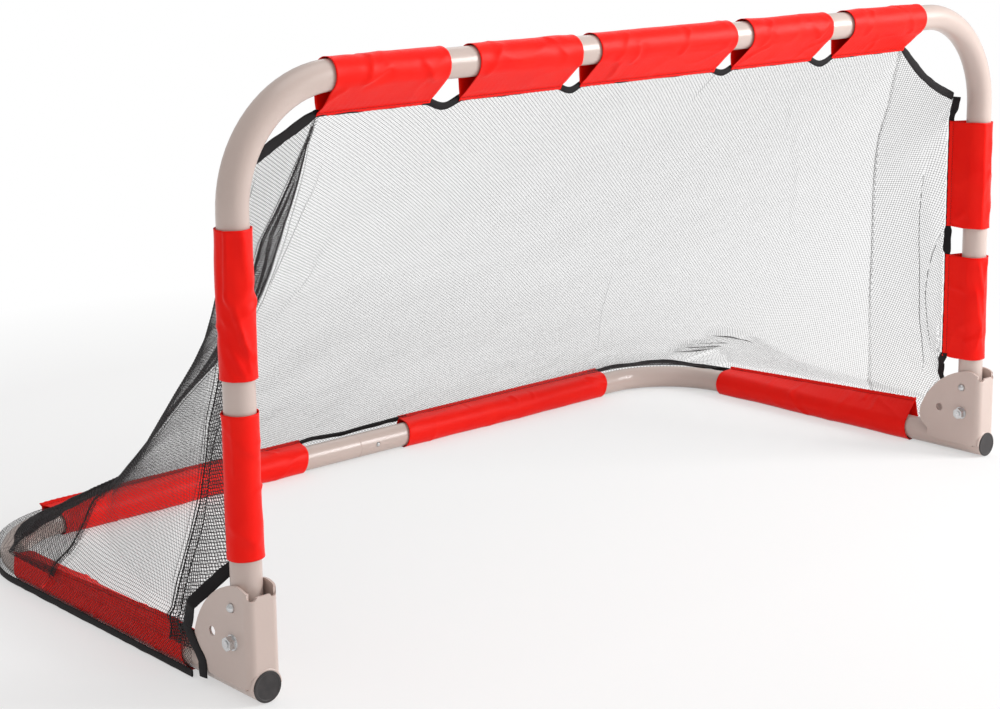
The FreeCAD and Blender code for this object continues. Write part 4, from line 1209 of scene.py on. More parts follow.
@dataclass
class Membrane:
    """The surface that the net hangs in: a mesh pulled tight between its edges, with a little weight.

    A place on it is u, in columns of the CAD model's openings from the left front edge, 0, round the
    back to the right front edge, 30, and v, from the top edge, 0, to the foot, 1. Sizes are in
    millimetres.

    fine and coarse are the steps in a column, for the surface and for its flat cloths. sag is the
    weight, and pull and foot_pull are how much tighter the net is across than down, the second
    towards its foot. The front edges are heights with the places of each side's edge there, and the
    left corner stands out by its fullness at shares of the height.
    """

    fine: int = 6
    coarse: int = 3
    side_gaps: int = 6
    corner_gaps: int = 3
    back_gaps: int = 12
    gaps_down: int = 8
    rounds: int = 6000
    sag: float = 0.2
    pull: float = 0.5
    foot_pull: float = 8.0
    foot_power: int = 8
    flap_front: tuple[float, float] = (-183.0, 57.0)
    flap_rear: tuple[float, float] = (163.0, 42.0)
    upright_top: float = 110.0
    upright_x: float = 500.0
    edge_levels: tuple[float, ...] = (0.0, 23.0, 37.0, 53.0, 82.0, 102.0, 125.0, 134.0)
    edge_left: tuple[float, ...] = (-220.0, -218.0, -205.0, -195.0, -204.0, -218.0, -240.0, -246.0)
    edge_right: tuple[float, ...] = (-213.0, -210.0, -209.0, -211.0, -217.0, -222.0, -231.0, -239.3)
    full_at: tuple[float, ...] = (0.3, 0.4, 0.5, 0.56, 0.62, 0.68, 0.76, 0.82, 0.87)
    fullness: tuple[float, ...] = (0.0, 4.0, 9.0, 11.0, 10.5, 8.0, 7.0, 3.0, 0.0)
    full_way: tuple[float, float, float] = (-0.756, 0.654, 0.0)
    post_x: float = 575.5
    post_y: float = -239.3
    post_foot: float = 134.0
    post_head: float = 455.0
    shoulder_left: tuple[float, float, float] = (585.6, -257.3, 499.0)
    shoulder_right: tuple[float, float, float] = (560.0, -257.3, 483.0)
    slack_right: float = 9.0
    top: tuple[float, float] = (-257.3, 554.1)
    top_left: float = -480.5
    top_right: float = 448.5
    side_x: float = 612.9
    front_y: float = -200.8
    edge_bend: float = 80.0
    bend: tuple[float, float, float] = (473.5, 164.8, 139.4)
    knee: float = 30.0

    def __post_init__(self) -> None:
        """Hang the surface and lay its cloth flat."""
        self.count = 2 * (self.side_gaps + self.corner_gaps) + self.back_gaps
        self.surface = self.settle()
        self.cloths = {name: self.unfold(name, *span) for name, span in self.spans().items()}

    def spans(self) -> dict[str, tuple[float, float]]:
        """The columns that each cloth covers, with some to spare."""
        last = float(self.count)
        return {"back": (4.0, last - 3.0), "left": (0.0, 10.0), "right": (last - 10.0, last)}

    def half_border(self, side: Side) -> tuple[np.ndarray, np.ndarray]:
        """The top and foot borders from a front edge round to the back panel."""
        s, k = side.value, self.fine
        end = (self.top_left if side is Side.LEFT else self.top_right, *self.top)
        head = (s * self.post_x, self.post_y, self.post_head)
        shoulder_x, *shoulder_rest = self.shoulder_left if side is Side.LEFT else self.shoulder_right
        shoulder = (s * shoulder_x, *shoulder_rest)
        corner = spaced(shoulder, end, self.corner_gaps * k)
        if side is Side.RIGHT:
            sag = self.slack_right * np.sin(np.linspace(0.0, math.pi, len(corner) + 1))[:-1]
            corner = corner - np.stack([sag * 0.5, sag * 0, sag * 0.85], 1)
        top = [
            spaced((s * self.post_x, self.post_y, self.post_foot), head, (self.side_gaps - 1) * k),
            spaced(head, shoulder, k),
            corner,
        ]
        bend_x, bend_y, radius = self.bend
        turn = np.linspace(0.0, math.pi / 2, self.corner_gaps * k + 1)[:-1]
        x, y = s * (bend_x + radius * np.cos(turn)), bend_y + radius * np.sin(turn)
        arc = [x, y, np.full_like(turn, self.knee)]
        front, rear = ((s * self.side_x, depth, self.knee) for depth in (self.front_y, bend_y))
        side_foot = spaced(front, rear, self.side_gaps * k)
        return np.concatenate(top), np.concatenate([side_foot, np.stack(arc, 1)])

    def front_edge(self, side: Side, z: np.ndarray) -> np.ndarray:
        """Points of a side's front edge, by height."""
        y = np.interp(z, self.edge_levels, self.edge_left if side is Side.LEFT else self.edge_right)
        bent = [self.knee, self.edge_bend, self.post_foot]
        x = side.value * np.interp(z, bent, [self.side_x, self.side_x, self.post_x])
        return np.stack([x, y, z], -1)

    def settle(self) -> np.ndarray:
        """Let every inner point come to rest between its neighbours."""
        k = self.fine
        top_left, foot_left = self.half_border(Side.LEFT)
        top_right, foot_right = self.half_border(Side.RIGHT)
        ends = (self.top_left, *self.top), (self.top_right, *self.top)
        bend_x, bend_y, radius = self.bend
        feet = (-bend_x, bend_y + radius, self.knee), (bend_x, bend_y + radius, self.knee)
        wide = self.back_gaps * k
        top = np.concatenate([top_left, spaced(*ends, wide), [ends[1]], top_right[::-1]])
        foot = np.concatenate([foot_left, spaced(*feet, wide), [feet[1]], foot_right[::-1]])
        v = np.linspace(0.0, 1.0, self.gaps_down * k + 1)
        hung = top[None] + (foot - top)[None] * v[:, None, None]
        z = np.linspace(self.post_foot, self.knee, len(v))
        hung[:, 0], hung[:, -1] = self.front_edge(Side.LEFT, z), self.front_edge(Side.RIGHT, z)
        across = (self.pull + self.foot_pull * v[1:-1] ** self.foot_power)[:, None, None]
        for _ in range(self.rounds):
            beside = across * (hung[1:-1, :-2] + hung[1:-1, 2:])
            moved = (beside + hung[:-2, 1:-1] + hung[2:, 1:-1]) / (2 + 2 * across)
            moved[..., 2] -= self.sag / k**2
            hung[1:-1, 1:-1] = moved
        return self.fill_out(self.stand_up(hung))

    def fill_out(self, hung: np.ndarray) -> np.ndarray:
        """Let the slack left corner stand a little further out than a tight net would."""
        rows, columns = hung.shape[:2]
        u = np.arange(columns) / self.fine
        amount = np.interp(np.linspace(0.0, 1.0, rows), self.full_at, self.fullness)
        share = smooth((u - 3.6) / 2.4) * smooth((11.0 - u) / 2.6)
        return hung + (amount[:, None] * share)[..., None] * np.array(self.full_way)

    def stand_up(self, hung: np.ndarray) -> np.ndarray:
        """Keep the net upright outside the flaps along the base's arms, which it is sewn to."""
        x, y, z = (hung[..., i] for i in range(3))
        flap = np.interp(y, *zip(self.flap_front, self.flap_rear))
        least = self.side_x + 0.6 - 1.15 * np.maximum(z - flap, 0.0)
        wide = np.maximum(np.abs(x), least)
        share = smooth((190.0 - y) / 24.0) * smooth((y + 204.0) / 10.0) * smooth((z - self.knee) / 4.0)
        share = share * ((z < self.upright_top) & (np.abs(x) > self.upright_x))
        hung[..., 0] = np.where(share > 0.0, np.sign(x) * (np.abs(x) + (wide - np.abs(x)) * share), x)
        return hung

    def unfold(self, name: str, first: float, last: float, rounds: int = 2500) -> np.ndarray:
        """Lay the surface's columns flat, as the cloth was cut, keeping the lengths between neighbours.

        Args:
            name: The cloth.
            first: Its first column.
            last: Its last column.
            rounds: How often every point is moved.

        Returns:
            Flat coordinates for each point of the coarse grid, rows by columns by 2.
        """
        points = self.surface[:: self.coarse, :: self.coarse]
        per = self.fine // self.coarse
        points = points[:, int(first * per) : int(last * per) + 1]
        flat = self.first_guess(name, points)
        whole, less, more = slice(None), slice(None, -1), slice(1, None)
        links = [
            ((whole, less), (whole, more)), ((less, whole), (more, whole)),
            ((less, less), (more, more)), ((less, more), (more, less)),
        ]
        rests = [np.linalg.norm(points[q] - points[p], axis=-1) for p, q in links]
        for _ in range(rounds):
            move = np.zeros_like(flat)
            for (p, q), rest in zip(links, rests):
                gap = flat[q] - flat[p]
                far = np.maximum(np.linalg.norm(gap, axis=-1), 1e-6)
                push = gap * ((1.0 - rest / far) * 0.14)[..., None]
                move[p] += push
                move[q] -= push
            flat += move
        return flat

    def first_guess(self, name: str, points: np.ndarray) -> np.ndarray:
        """A rough flat layout to start from."""
        if name != "back":
            inward = self.side_x - np.abs(points[..., 0])
            share = np.linspace(0.95, 0.34, len(points))[:, None]
            return np.stack([points[..., 1] * 0.94 + inward * share, -points[..., 2]], -1)
        steps = np.linalg.norm(np.diff(points, axis=1), axis=2)
        a = np.concatenate([np.zeros((len(points), 1)), np.cumsum(steps, 1)], 1)
        a = a - a[:, points.shape[1] // 2][:, None]
        drops = np.linalg.norm(np.diff(points, axis=0), axis=2)
        b = np.concatenate([np.zeros((1, points.shape[1])), np.cumsum(drops, 0)], 0)
        return np.stack([a, b + self.top[1] - points[:1, :, 2]], -1)

    @staticmethod
    def sample(grid: np.ndarray, u: np.ndarray, v: np.ndarray) -> np.ndarray:
        """Read a grid between its points, u and v counted in its cells."""
        i = np.clip(np.floor(v).astype(int), 0, grid.shape[0] - 2)
        j = np.clip(np.floor(u).astype(int), 0, grid.shape[1] - 2)
        s, t = (v - i)[..., None], (u - j)[..., None]
        upper = grid[i, j] * (1 - t) + grid[i, j + 1] * t
        lower = grid[i + 1, j] * (1 - t) + grid[i + 1, j + 1] * t
        return upper * (1 - s) + lower * s

    def at(self, u: np.ndarray, v: np.ndarray) -> np.ndarray:
        """Points of the surface."""
        return self.sample(self.surface, u * self.fine, v * self.gaps_down * self.fine)

    def column_width(self, u: np.ndarray, v: np.ndarray) -> np.ndarray:
        """The width of one column, measured over a fifth of it."""
        return np.linalg.norm(self.at(u + 0.1, v) - self.at(u - 0.1, v), axis=-1) / 0.2

    def flat_at(self, cloth: str, u: np.ndarray, v: np.ndarray) -> np.ndarray:
        """Flat coordinates of a cloth at places of the surface."""
        per = self.fine // self.coarse
        return self.sample(self.cloths[cloth], (u - self.spans()[cloth][0]) * per, v * self.gaps_down * per)


@dataclass(frozen=True)
class Crease:
    """A gathered line down the net: where it runs, its width, the cloth it takes up and its rise."""

    path: Curve
    width: float
    taken: float
    lift: float = 1.5

    def at(self, v: np.ndarray) -> np.ndarray:
        """The crease's column at each height."""
        return follow(self.path, v)

    def strength(self, v: np.ndarray) -> np.ndarray:
        """How marked the crease is, from 0 past its ends to 1."""
        first, last = self.path[0][0], self.path[-1][0]
        head = smooth((v - first + 0.02) * 14) if first > 0.0 else np.ones_like(v)
        return head * (smooth((last + 0.02 - v) * 14) if last < 1.0 else 1.0)


def follow(path: Curve, v: np.ndarray) -> np.ndarray:
    """A column that changes with the height, given as pairs of v and u."""
    known = np.array(path)
    return np.interp(v, known[:, 0], known[:, 1])


@dataclass
class Panel:
    """A piece of net cut from one cloth, between two lines down the membrane.

    Sizes are in millimetres. cell is the size of the grid that carries the yarns, swell is how far
    the cloth waves, offset is how far it lies outside the membrane, and turn is the angle of its
    cloth in degrees.
    """

    cloth: str
    left: Curve
    right: Curve
    top: float = 0.0
    foot: float = 1.0
    creases: tuple[Crease, ...] = ()
    cuts: tuple[Curve, ...] = ()
    cell: float = 11.0
    swell: float = 1.6
    offset: float = 0.0
    turn: float = 0.0
    seed: float = 1.0
    outward: tuple[float, float, float] = (0.0, 0.7, 0.7)
    drop: float = 760.0
    reach: float = 70.0
    slip: float = 2.2
    swells: tuple[float, float, float] = (110.0, 41.0, 130.0)

    def columns(self, net: Membrane, v: np.ndarray) -> tuple[np.ndarray, list[int]]:
        """The grid's columns, closer together at the creases.

        Args:
            net: The surface.
            v: The rows' heights.

        Returns:
            The columns, rows by columns, and the places of the cuts among them.
        """
        left, right = follow(self.left, v), follow(self.right, v)
        middle = (left + right) / 2
        per = net.column_width(middle, v)
        keys: list[tuple[float, np.ndarray, bool]] = []
        for crease in (crease for crease in self.creases if crease.width < self.cell / 2):
            for share in (-0.55, 0.55):
                line = crease.at(v) + share * crease.width / per
                keys.append((float(line.mean()), line, False))
        for cut in self.cuts:
            line = follow(cut, v)
            keys.append((float(line.mean()), line, True))
        keys.sort(key=lambda key: key[0])
        lines, marks = [left], []
        for _, line, is_cut in [*keys, (0.0, right, False)]:
            line = np.clip(line, lines[-1] + 0.01, np.maximum(right, lines[-1] + 0.01))
            gap = float(((line - lines[-1]) * per).max())
            parts = max(1, math.ceil(gap / self.cell))
            before = lines[-1]
            lines += [before + (line - before) * i / parts for i in range(1, parts + 1)]
            if is_cut:
                marks.append(len(lines) - 1)
        return np.stack(lines, 1), marks

    def lay(self, net: Membrane) -> tuple[np.ndarray, np.ndarray, np.ndarray, list[int]]:
        """The panel's points, flat coordinates and normals, and its cuts."""
        rows = max(4, int((self.foot - self.top) * self.drop / self.cell))
        v = np.linspace(self.top, self.foot, rows + 1)
        u, marks = self.columns(net, v)
        high = np.repeat(v[:, None], u.shape[1], 1)
        points, flat = net.at(u, high), net.flat_at(self.cloth, u, high)
        normals = self.facing(points)
        raised = np.full_like(u, self.offset)
        for crease in self.creases:
            centre, force = crease.at(v)[:, None], crease.strength(v)[:, None]
            per = net.column_width(centre, v[:, None])
            away = (u - centre) * per
            step = (smooth(away / crease.width + 0.5) - 0.5) * np.exp(-np.abs(away) / self.reach)
            flat[..., 0] += crease.taken * step * force
            raised += crease.lift * np.exp(-((away / crease.width) ** 2) * 1.2) * force
        spots = points.reshape(-1, 3)
        broad, narrow, slip = self.swells
        wave = ripple(spots, broad, self.seed) + 0.45 * ripple(spots, narrow, self.seed + 3)
        wave = wave.reshape(u.shape)
        hold = smooth(high * 10) * smooth((1 - high) * 12)
        slips = [ripple(spots, slip, self.seed + s).reshape(u.shape) for s in (6, 8)]
        flat += self.slip * np.stack(slips, -1)
        points = points + normals * (raised * hold + wave * self.swell * hold)[..., None]
        angle = math.radians(self.turn)
        spin = np.array([[math.cos(angle), math.sin(angle)], [-math.sin(angle), math.cos(angle)]])
        return points, flat @ spin, self.facing(points), marks

    def facing(self, points: np.ndarray) -> np.ndarray:
        """Normals of a grid of points, outwards."""
        normals = unit(np.cross(np.gradient(points, axis=1), np.gradient(points, axis=0)))
        middle = normals[normals.shape[0] // 2, normals.shape[1] // 2]
        return normals if middle @ np.array(self.outward) > 0 else -normals


def area_of(points: np.ndarray) -> float:
    """The area of a grid of points."""
    across, down = np.diff(points, axis=1)[:-1], np.diff(points, axis=0)[:, :-1]
    return float(np.linalg.norm(np.cross(across, down), axis=-1).sum())


@dataclass(frozen=True)
class Lines:
    """The lines that part and gather the net's cloths, as pairs of v and u."""

    gather_left: Curve = (
        (0.0, 8.95), (0.05, 8.67), (0.1, 8.48), (0.15, 8.25), (0.2, 8.0), (0.3, 8.12), (0.4, 8.3),
        (0.5, 8.46), (0.55, 8.33), (0.6, 7.88), (0.65, 7.58), (0.7, 7.3), (0.75, 7.08), (0.8, 6.6),
        (0.85, 5.6), (0.9, 4.95), (0.95, 4.68), (1.0, 4.5),
    )
    gather_right: Curve = (
        (0.0, 21.0), (0.08, 22.05), (0.15, 22.69), (0.2, 23.31), (0.25, 24.0), (0.3, 24.72),
        (0.35, 25.34), (0.4, 25.81), (0.45, 26.22), (0.5, 26.59), (0.6, 27.16), (0.7, 27.56),
        (0.8, 27.84), (1.0, 28.2),
    )
    split_left: Curve = ((0.0, 6.0), (0.5, 5.5), (0.8, 5.0), (0.9, 4.5), (1.0, 4.0))
    split_right: Curve = (
        (0.0, 21.6), (0.08, 22.6), (0.15, 23.2), (0.2, 23.8), (0.25, 24.5), (0.3, 25.2), (0.35, 25.8),
        (0.4, 26.3), (0.5, 27.05), (0.6, 27.6), (0.7, 28.0), (0.8, 28.25), (1.0, 28.6),
    )
    lap: Curve = (
        (0.0, 8.97), (0.04, 8.8), (0.1, 8.77), (0.19, 8.72), (0.28, 8.78), (0.38, 8.94), (0.44, 9.0),
        (0.5, 8.95), (0.55, 8.65), (0.6, 8.1), (0.65, 7.85), (0.7, 7.65), (0.75, 7.7), (0.8, 7.8),
        (0.9, 8.1), (1.0, 8.6),
    )
    fold: Curve = (
        (0.0, 4.6), (0.08, 3.95), (0.14, 3.38), (0.22, 3.06), (0.26, 2.6), (0.34, 1.98), (0.44, 1.62),
        (0.56, 1.24), (0.7, 0.95), (0.88, 0.72), (1.0, 0.68),
    )


class Net:
    """The net: back, corners, sides, double folds and skirt."""

    def __init__(self, palette: Palette, membrane: Membrane, knit: Knit) -> None:
        """Keep what the net is made from, and thicken the mesh where it shows nearer or doubled."""
        self.palette = palette
        self.membrane = membrane
        self.knit = knit
        self.side_knit = replace(knit, yarn=0.25, lift=0.18, second=0.85)
        self.fold_knit = replace(knit, yarn=0.5, lift=0.36, second=0.9)
        self.gather_knit = replace(knit, pitch=2.5, yarn=0.4, lift=0.28, second=0.9)
        lines = Lines()
        self.gather = {Side.LEFT: lines.gather_left, Side.RIGHT: lines.gather_right}
        self.split = {Side.LEFT: lines.split_left, Side.RIGHT: lines.split_right}
        self.lap, self.fold_line = lines.lap, lines.fold

    def build(self) -> None:
        """Make every piece of mesh."""
        self.back()
        for side in Side:
            self.side(side)
        self.gather_fold()
        self.edge_fold()
        self.skirt()

    def shifted(self, path: Curve, *steps: tuple[float, float]) -> Curve:
        """A line moved sideways by columns that change with the height."""
        return tuple((v, u + float(follow(steps, np.array([v]))[0])) for v, u in path)

    def piece(
        self, name: str, nodes: Sequence[str], knit: Knit, points: np.ndarray, flat: np.ndarray,
        normals: np.ndarray,
    ) -> bpy.types.Object:
        """Args:
            name: The piece's name.
            nodes: The CAD nodes that it stands for.
            knit: Its mesh.
            points: A grid of points of the surface.
            flat: The flat cloth's coordinates there.
            normals: The surface's normals there.

        Returns:
            The piece.
        """
        made = make_object(name, *knit.strands(points, flat, normals), self.palette.by_slot[Slot.MESH])
        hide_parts(*nodes)
        cut = np.concatenate([flat, np.zeros_like(flat[..., :1])], -1)
        longest = float(np.linalg.norm(np.diff(points, axis=0), axis=2).sum(0).max())
        self.declare(made, knit, area_of(cut), longest)
        return made

    def declare(
        self, made: bpy.types.Object, knit: Knit, cut: float, length: float,
        edges: Sequence[bpy.types.Object] = (),
    ) -> None:
        """Say what a piece was cut from: a strip of its length and its mean width, in square millimetres.

        Args:
            made: The piece.
            knit: Its mesh.
            cut: The cloth's area.
            length: The cloth's length.
            edges: Tapes that are sewn to it. Not used.
        """
        width = cut / length
        area = cut * max(LEAST_COVER, knit.cover) * MM * MM
        width * MM
        length * MM
        log.info("net %s: %d faces, cut %.0f x %.0f mm", made.name, len(made.data.polygons), width, length)

    def swing(self, made: bpy.types.Object) -> None:
        """Bake a piece's transform into its mesh; it stays where it was made."""
        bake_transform(made)

    def crumple(self, made: bpy.types.Object) -> None:
        """Give a piece its own mesh and attach it to the base."""
        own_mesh(made)
        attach(made, "base")

    def back_creases(self) -> tuple[Crease, ...]:
        """The gathered lines of the back cloth."""
        left, right = self.gather[Side.LEFT], self.gather[Side.RIGHT]
        return (
            Crease(self.shifted(left, (0.0, 0.04), (0.4, 0.1), (1.0, 0.1)), 2.0, 10.0, 1.5),
            Crease(self.shifted(self.lap, (0.0, 0.03), (1.0, 0.05))[:12], 1.8, 5.0, -0.8),
            Crease(
                ((0.09, 9.25), (0.14, 9.22), (0.17, 9.1), (0.24, 9.0), (0.31, 8.98), (0.36, 9.05)),
                1.6, 3.8, 1.2,
            ),
            Crease(((0.25, 10.0), (0.32, 10.06), (0.36, 10.05), (0.42, 9.85), (0.48, 9.7)), 1.6, 3.0, 0.9),
            Crease(((0.0, 16.5), (0.07, 16.4)), 1.6, 4.0, 1.0),
            Crease(((0.55, 18.2), (0.67, 18.8), (0.83, 19.8)), 1.8, 3.0, 1.2),
            Crease(((0.1, 19.0), (0.27, 21.0), (0.41, 22.3), (0.46, 23.6)), 9.0, 3.0, 2.5),
            Crease(self.shifted(right, (0.0, -0.08), (1.0, -0.08))[1:10], 1.8, 6.5, 1.0),
        )

    def back(self) -> None:
        """The back of the net, in six widths that are one cloth."""
        slanted, upright = ((0.0, 10.5), (1.0, 9.1)), (12.0, 14.5, 17.2, 20.3)
        cuts = (slanted, *(((0.0, u), (1.0, u)) for u in upright))
        panel = Panel(
            "back", self.gather[Side.LEFT], self.gather[Side.RIGHT], creases=self.back_creases(), cuts=cuts,
            cell=15.8, swell=2.2,
        )
        points, flat, normals, marks = panel.lay(self.membrane)
        ends = [0, *marks, points.shape[1] - 1]
        whole = "net_back_panel"
        nodes = ((whole, "net_corner_left"),) * 2 + ((whole,),) * 3 + ((whole, "net_corner_right"),)
        for index, names in enumerate(nodes):
            part = slice(ends[index], ends[index + 1] + 1)
            width = points[:, part], flat[:, part], normals[:, part]
            self.swing(self.piece(f"net_back_{index + 1}", names, self.knit, *width))

    def side(self, side: Side) -> None:
        """A side cloth: the part along the base, and the part that goes round the corner."""
        left_side = side is Side.LEFT
        gather = self.shifted(self.gather[side], (0.0, 0.12 * -side.value))
        front = 0.0 if left_side else float(self.membrane.count)
        edge = ((0.0, front), (1.0, front))
        panel = Panel(
            side.word, edge if left_side else gather, gather if left_side else edge,
            creases=self.side_creases(side, gather), cuts=(self.split[side],), turn=31.0 * -side.value,
            seed=5.0 + side.value, outward=(float(side.value), 0.0, 0.2),
        )
        points, flat, normals, marks = panel.lay(self.membrane)
        near = slice(0, marks[0] + 1) if left_side else slice(marks[0], None)
        far = slice(marks[0], None) if left_side else slice(0, marks[0] + 1)
        along, corner = f"net_side_panel_{side.word}", f"net_corner_{side.word}"
        parts = (
            (f"net_side_{side.word}_mesh", [along], near, self.crumple),
            (f"net_corner_{side.word}_mesh", [corner, along], far, self.swing),
        )
        for name, nodes, part, hang in parts:
            cloth = points[:, part], flat[:, part], normals[:, part]
            hang(self.piece(name, nodes, self.side_knit, *cloth))

    def side_creases(self, side: Side, gather: Curve) -> tuple[Crease, ...]:
        """The gathered lines of a side cloth."""
        if side is Side.LEFT:
            return (
                Crease(((0.02, 7.05), (0.12, 6.9)), 1.5, 4.0, 1.0),
                Crease((*self.fold_line[:-2], (0.86, 0.74)), 2.2, 10.0, 1.6),
                Crease(
                    self.shifted(self.fold_line, (0.0, 0.4), (0.7, 0.22), (1.0, 0.1))[3:-2], 1.5, 4.0, 1.0
                ),
                Crease(self.shifted(gather, (0.0, -0.15), (0.4, -0.3), (1.0, -0.3)), 1.6, 5.0, 1.0),
            )
        return (
            Crease(self.shifted(gather, (0.0, 0.14), (1.0, 0.14))[2:9], 1.6, 4.0, 1.0),
            Crease(
                (
                    (0.1, 25.22), (0.15, 26.12), (0.2, 27.19), (0.25, 27.81), (0.3, 28.22), (0.35, 28.69),
                    (0.45, 29.06), (0.55, 29.2),
                ),
                1.8, 8.0, 1.5,
            ),
            Crease(
                ((0.03, 27.3), (0.1, 27.38), (0.15, 27.6), (0.2, 27.95), (0.25, 28.7), (0.3, 29.4)),
                1.6, 7.0, 1.3,
            ),
        )

    def gather_fold(self) -> None:
        """The wedge where the side cloth laps over the back cloth, doubled along the gather."""
        gather = self.gather[Side.LEFT]
        creases = (
            Crease(self.shifted(self.lap, (0.0, -0.01), (0.3, -0.06), (1.0, -0.06)), 1.6, 6.0, 0.8),
            Crease(self.shifted(gather, (0.0, 0.02), (0.3, 0.06), (1.0, 0.06)), 1.8, 7.0, 0.8),
            Crease(
                self.shifted(gather, (0.0, 0.03), (0.2, 0.3), (0.4, 0.5), (0.6, 0.25), (1.0, 0.4))[2:10],
                1.6, 6.0, 0.8,
            ),
        )
        edge = self.shifted(gather, (0.0, -0.02), (0.35, -0.05), (0.5, -0.24), (0.75, -0.2), (1.0, -0.04))
        panel = Panel(
            "left", edge, self.lap, top=0.012, foot=0.985,
            creases=creases, cell=12.0, swell=0.8, offset=1.0, turn=46.0, seed=11.0, outward=(-0.7, 0.4, 0.4),
        )
        points, flat, normals, _ = panel.lay(self.membrane)
        made = self.piece("net_gather_fold", ["net_corner_left"], self.gather_knit, points, flat, normals)
        self.swing(made)

    def edge_fold(self) -> None:
        """The doubled strip of the left side, turned in along its front edge."""
        creases = (
            Crease(self.shifted(self.fold_line, (0.0, -0.1), (1.0, -0.04)), 1.8, 8.0, 1.5),
            Crease(self.shifted(self.fold_line, (0.0, -0.9), (0.5, -0.5), (1.0, -0.3))[2:], 1.5, 4.0, 1.0),
        )
        panel = Panel(
            "left", ((0.0, 0.06), (1.0, 0.06)), self.fold_line, creases=creases, cell=9.0, offset=-2.2,
            turn=13.0, seed=12.0, outward=(-1.0, 0.0, 0.2),
        )
        points, flat, normals, _ = panel.lay(self.membrane)
        made = self.piece("net_edge_fold", ["net_side_panel_left"], self.fold_knit, points, flat, normals)
        self.crumple(made)

    def foot_path(self, out: float = 0.0) -> tuple[np.ndarray, np.ndarray]:
        """The line of the net's foot, from the left front round the back, and the way out along it."""
        mesh = self.membrane
        bend_x, bend_y, radius = mesh.bend
        turn = np.linspace(0.0, math.pi / 2, 20)[1:]
        straight = np.array([[-bend_x - radius, y] for y in np.linspace(mesh.front_y - 2.0, bend_y, 30)])
        arc = np.stack([-bend_x - radius * np.cos(turn), bend_y + radius * np.sin(turn)], 1)
        behind = np.array([[x, bend_y + radius] for x in np.linspace(-440, 0, 32)])
        half = np.concatenate([straight, arc, behind])
        path = np.concatenate([half, half[::-1][1:] * np.array([-1, 1])])
        tangent = unit(np.gradient(path, axis=0))
        outward = np.stack([-tangent[:, 1], tangent[:, 0], np.zeros(len(path))], 1)
        return path + outward[:, :2] * out, outward

    def skirt(self) -> None:
        """The upright strip of net outside the base tube, down to the hem."""
        path, out = self.foot_path()
        levels = np.linspace(self.membrane.knee, HEM_RISE, 4)
        points = np.array([[[x, y, z] for x, y in path] for z in levels])
        step = distances(path)
        cloth = np.stack(np.meshgrid(step, self.membrane.knee - levels), -1)
        laid = self.side_knit.strands(points, cloth, np.repeat(out[None], len(levels), 0))
        made = make_object("net_skirt_mesh", *laid, self.palette.by_slot[Slot.MESH])
        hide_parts("net_skirt")
        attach(made, "base")
        self.skirt_piece, self.skirt_long = made, float(step[-1])


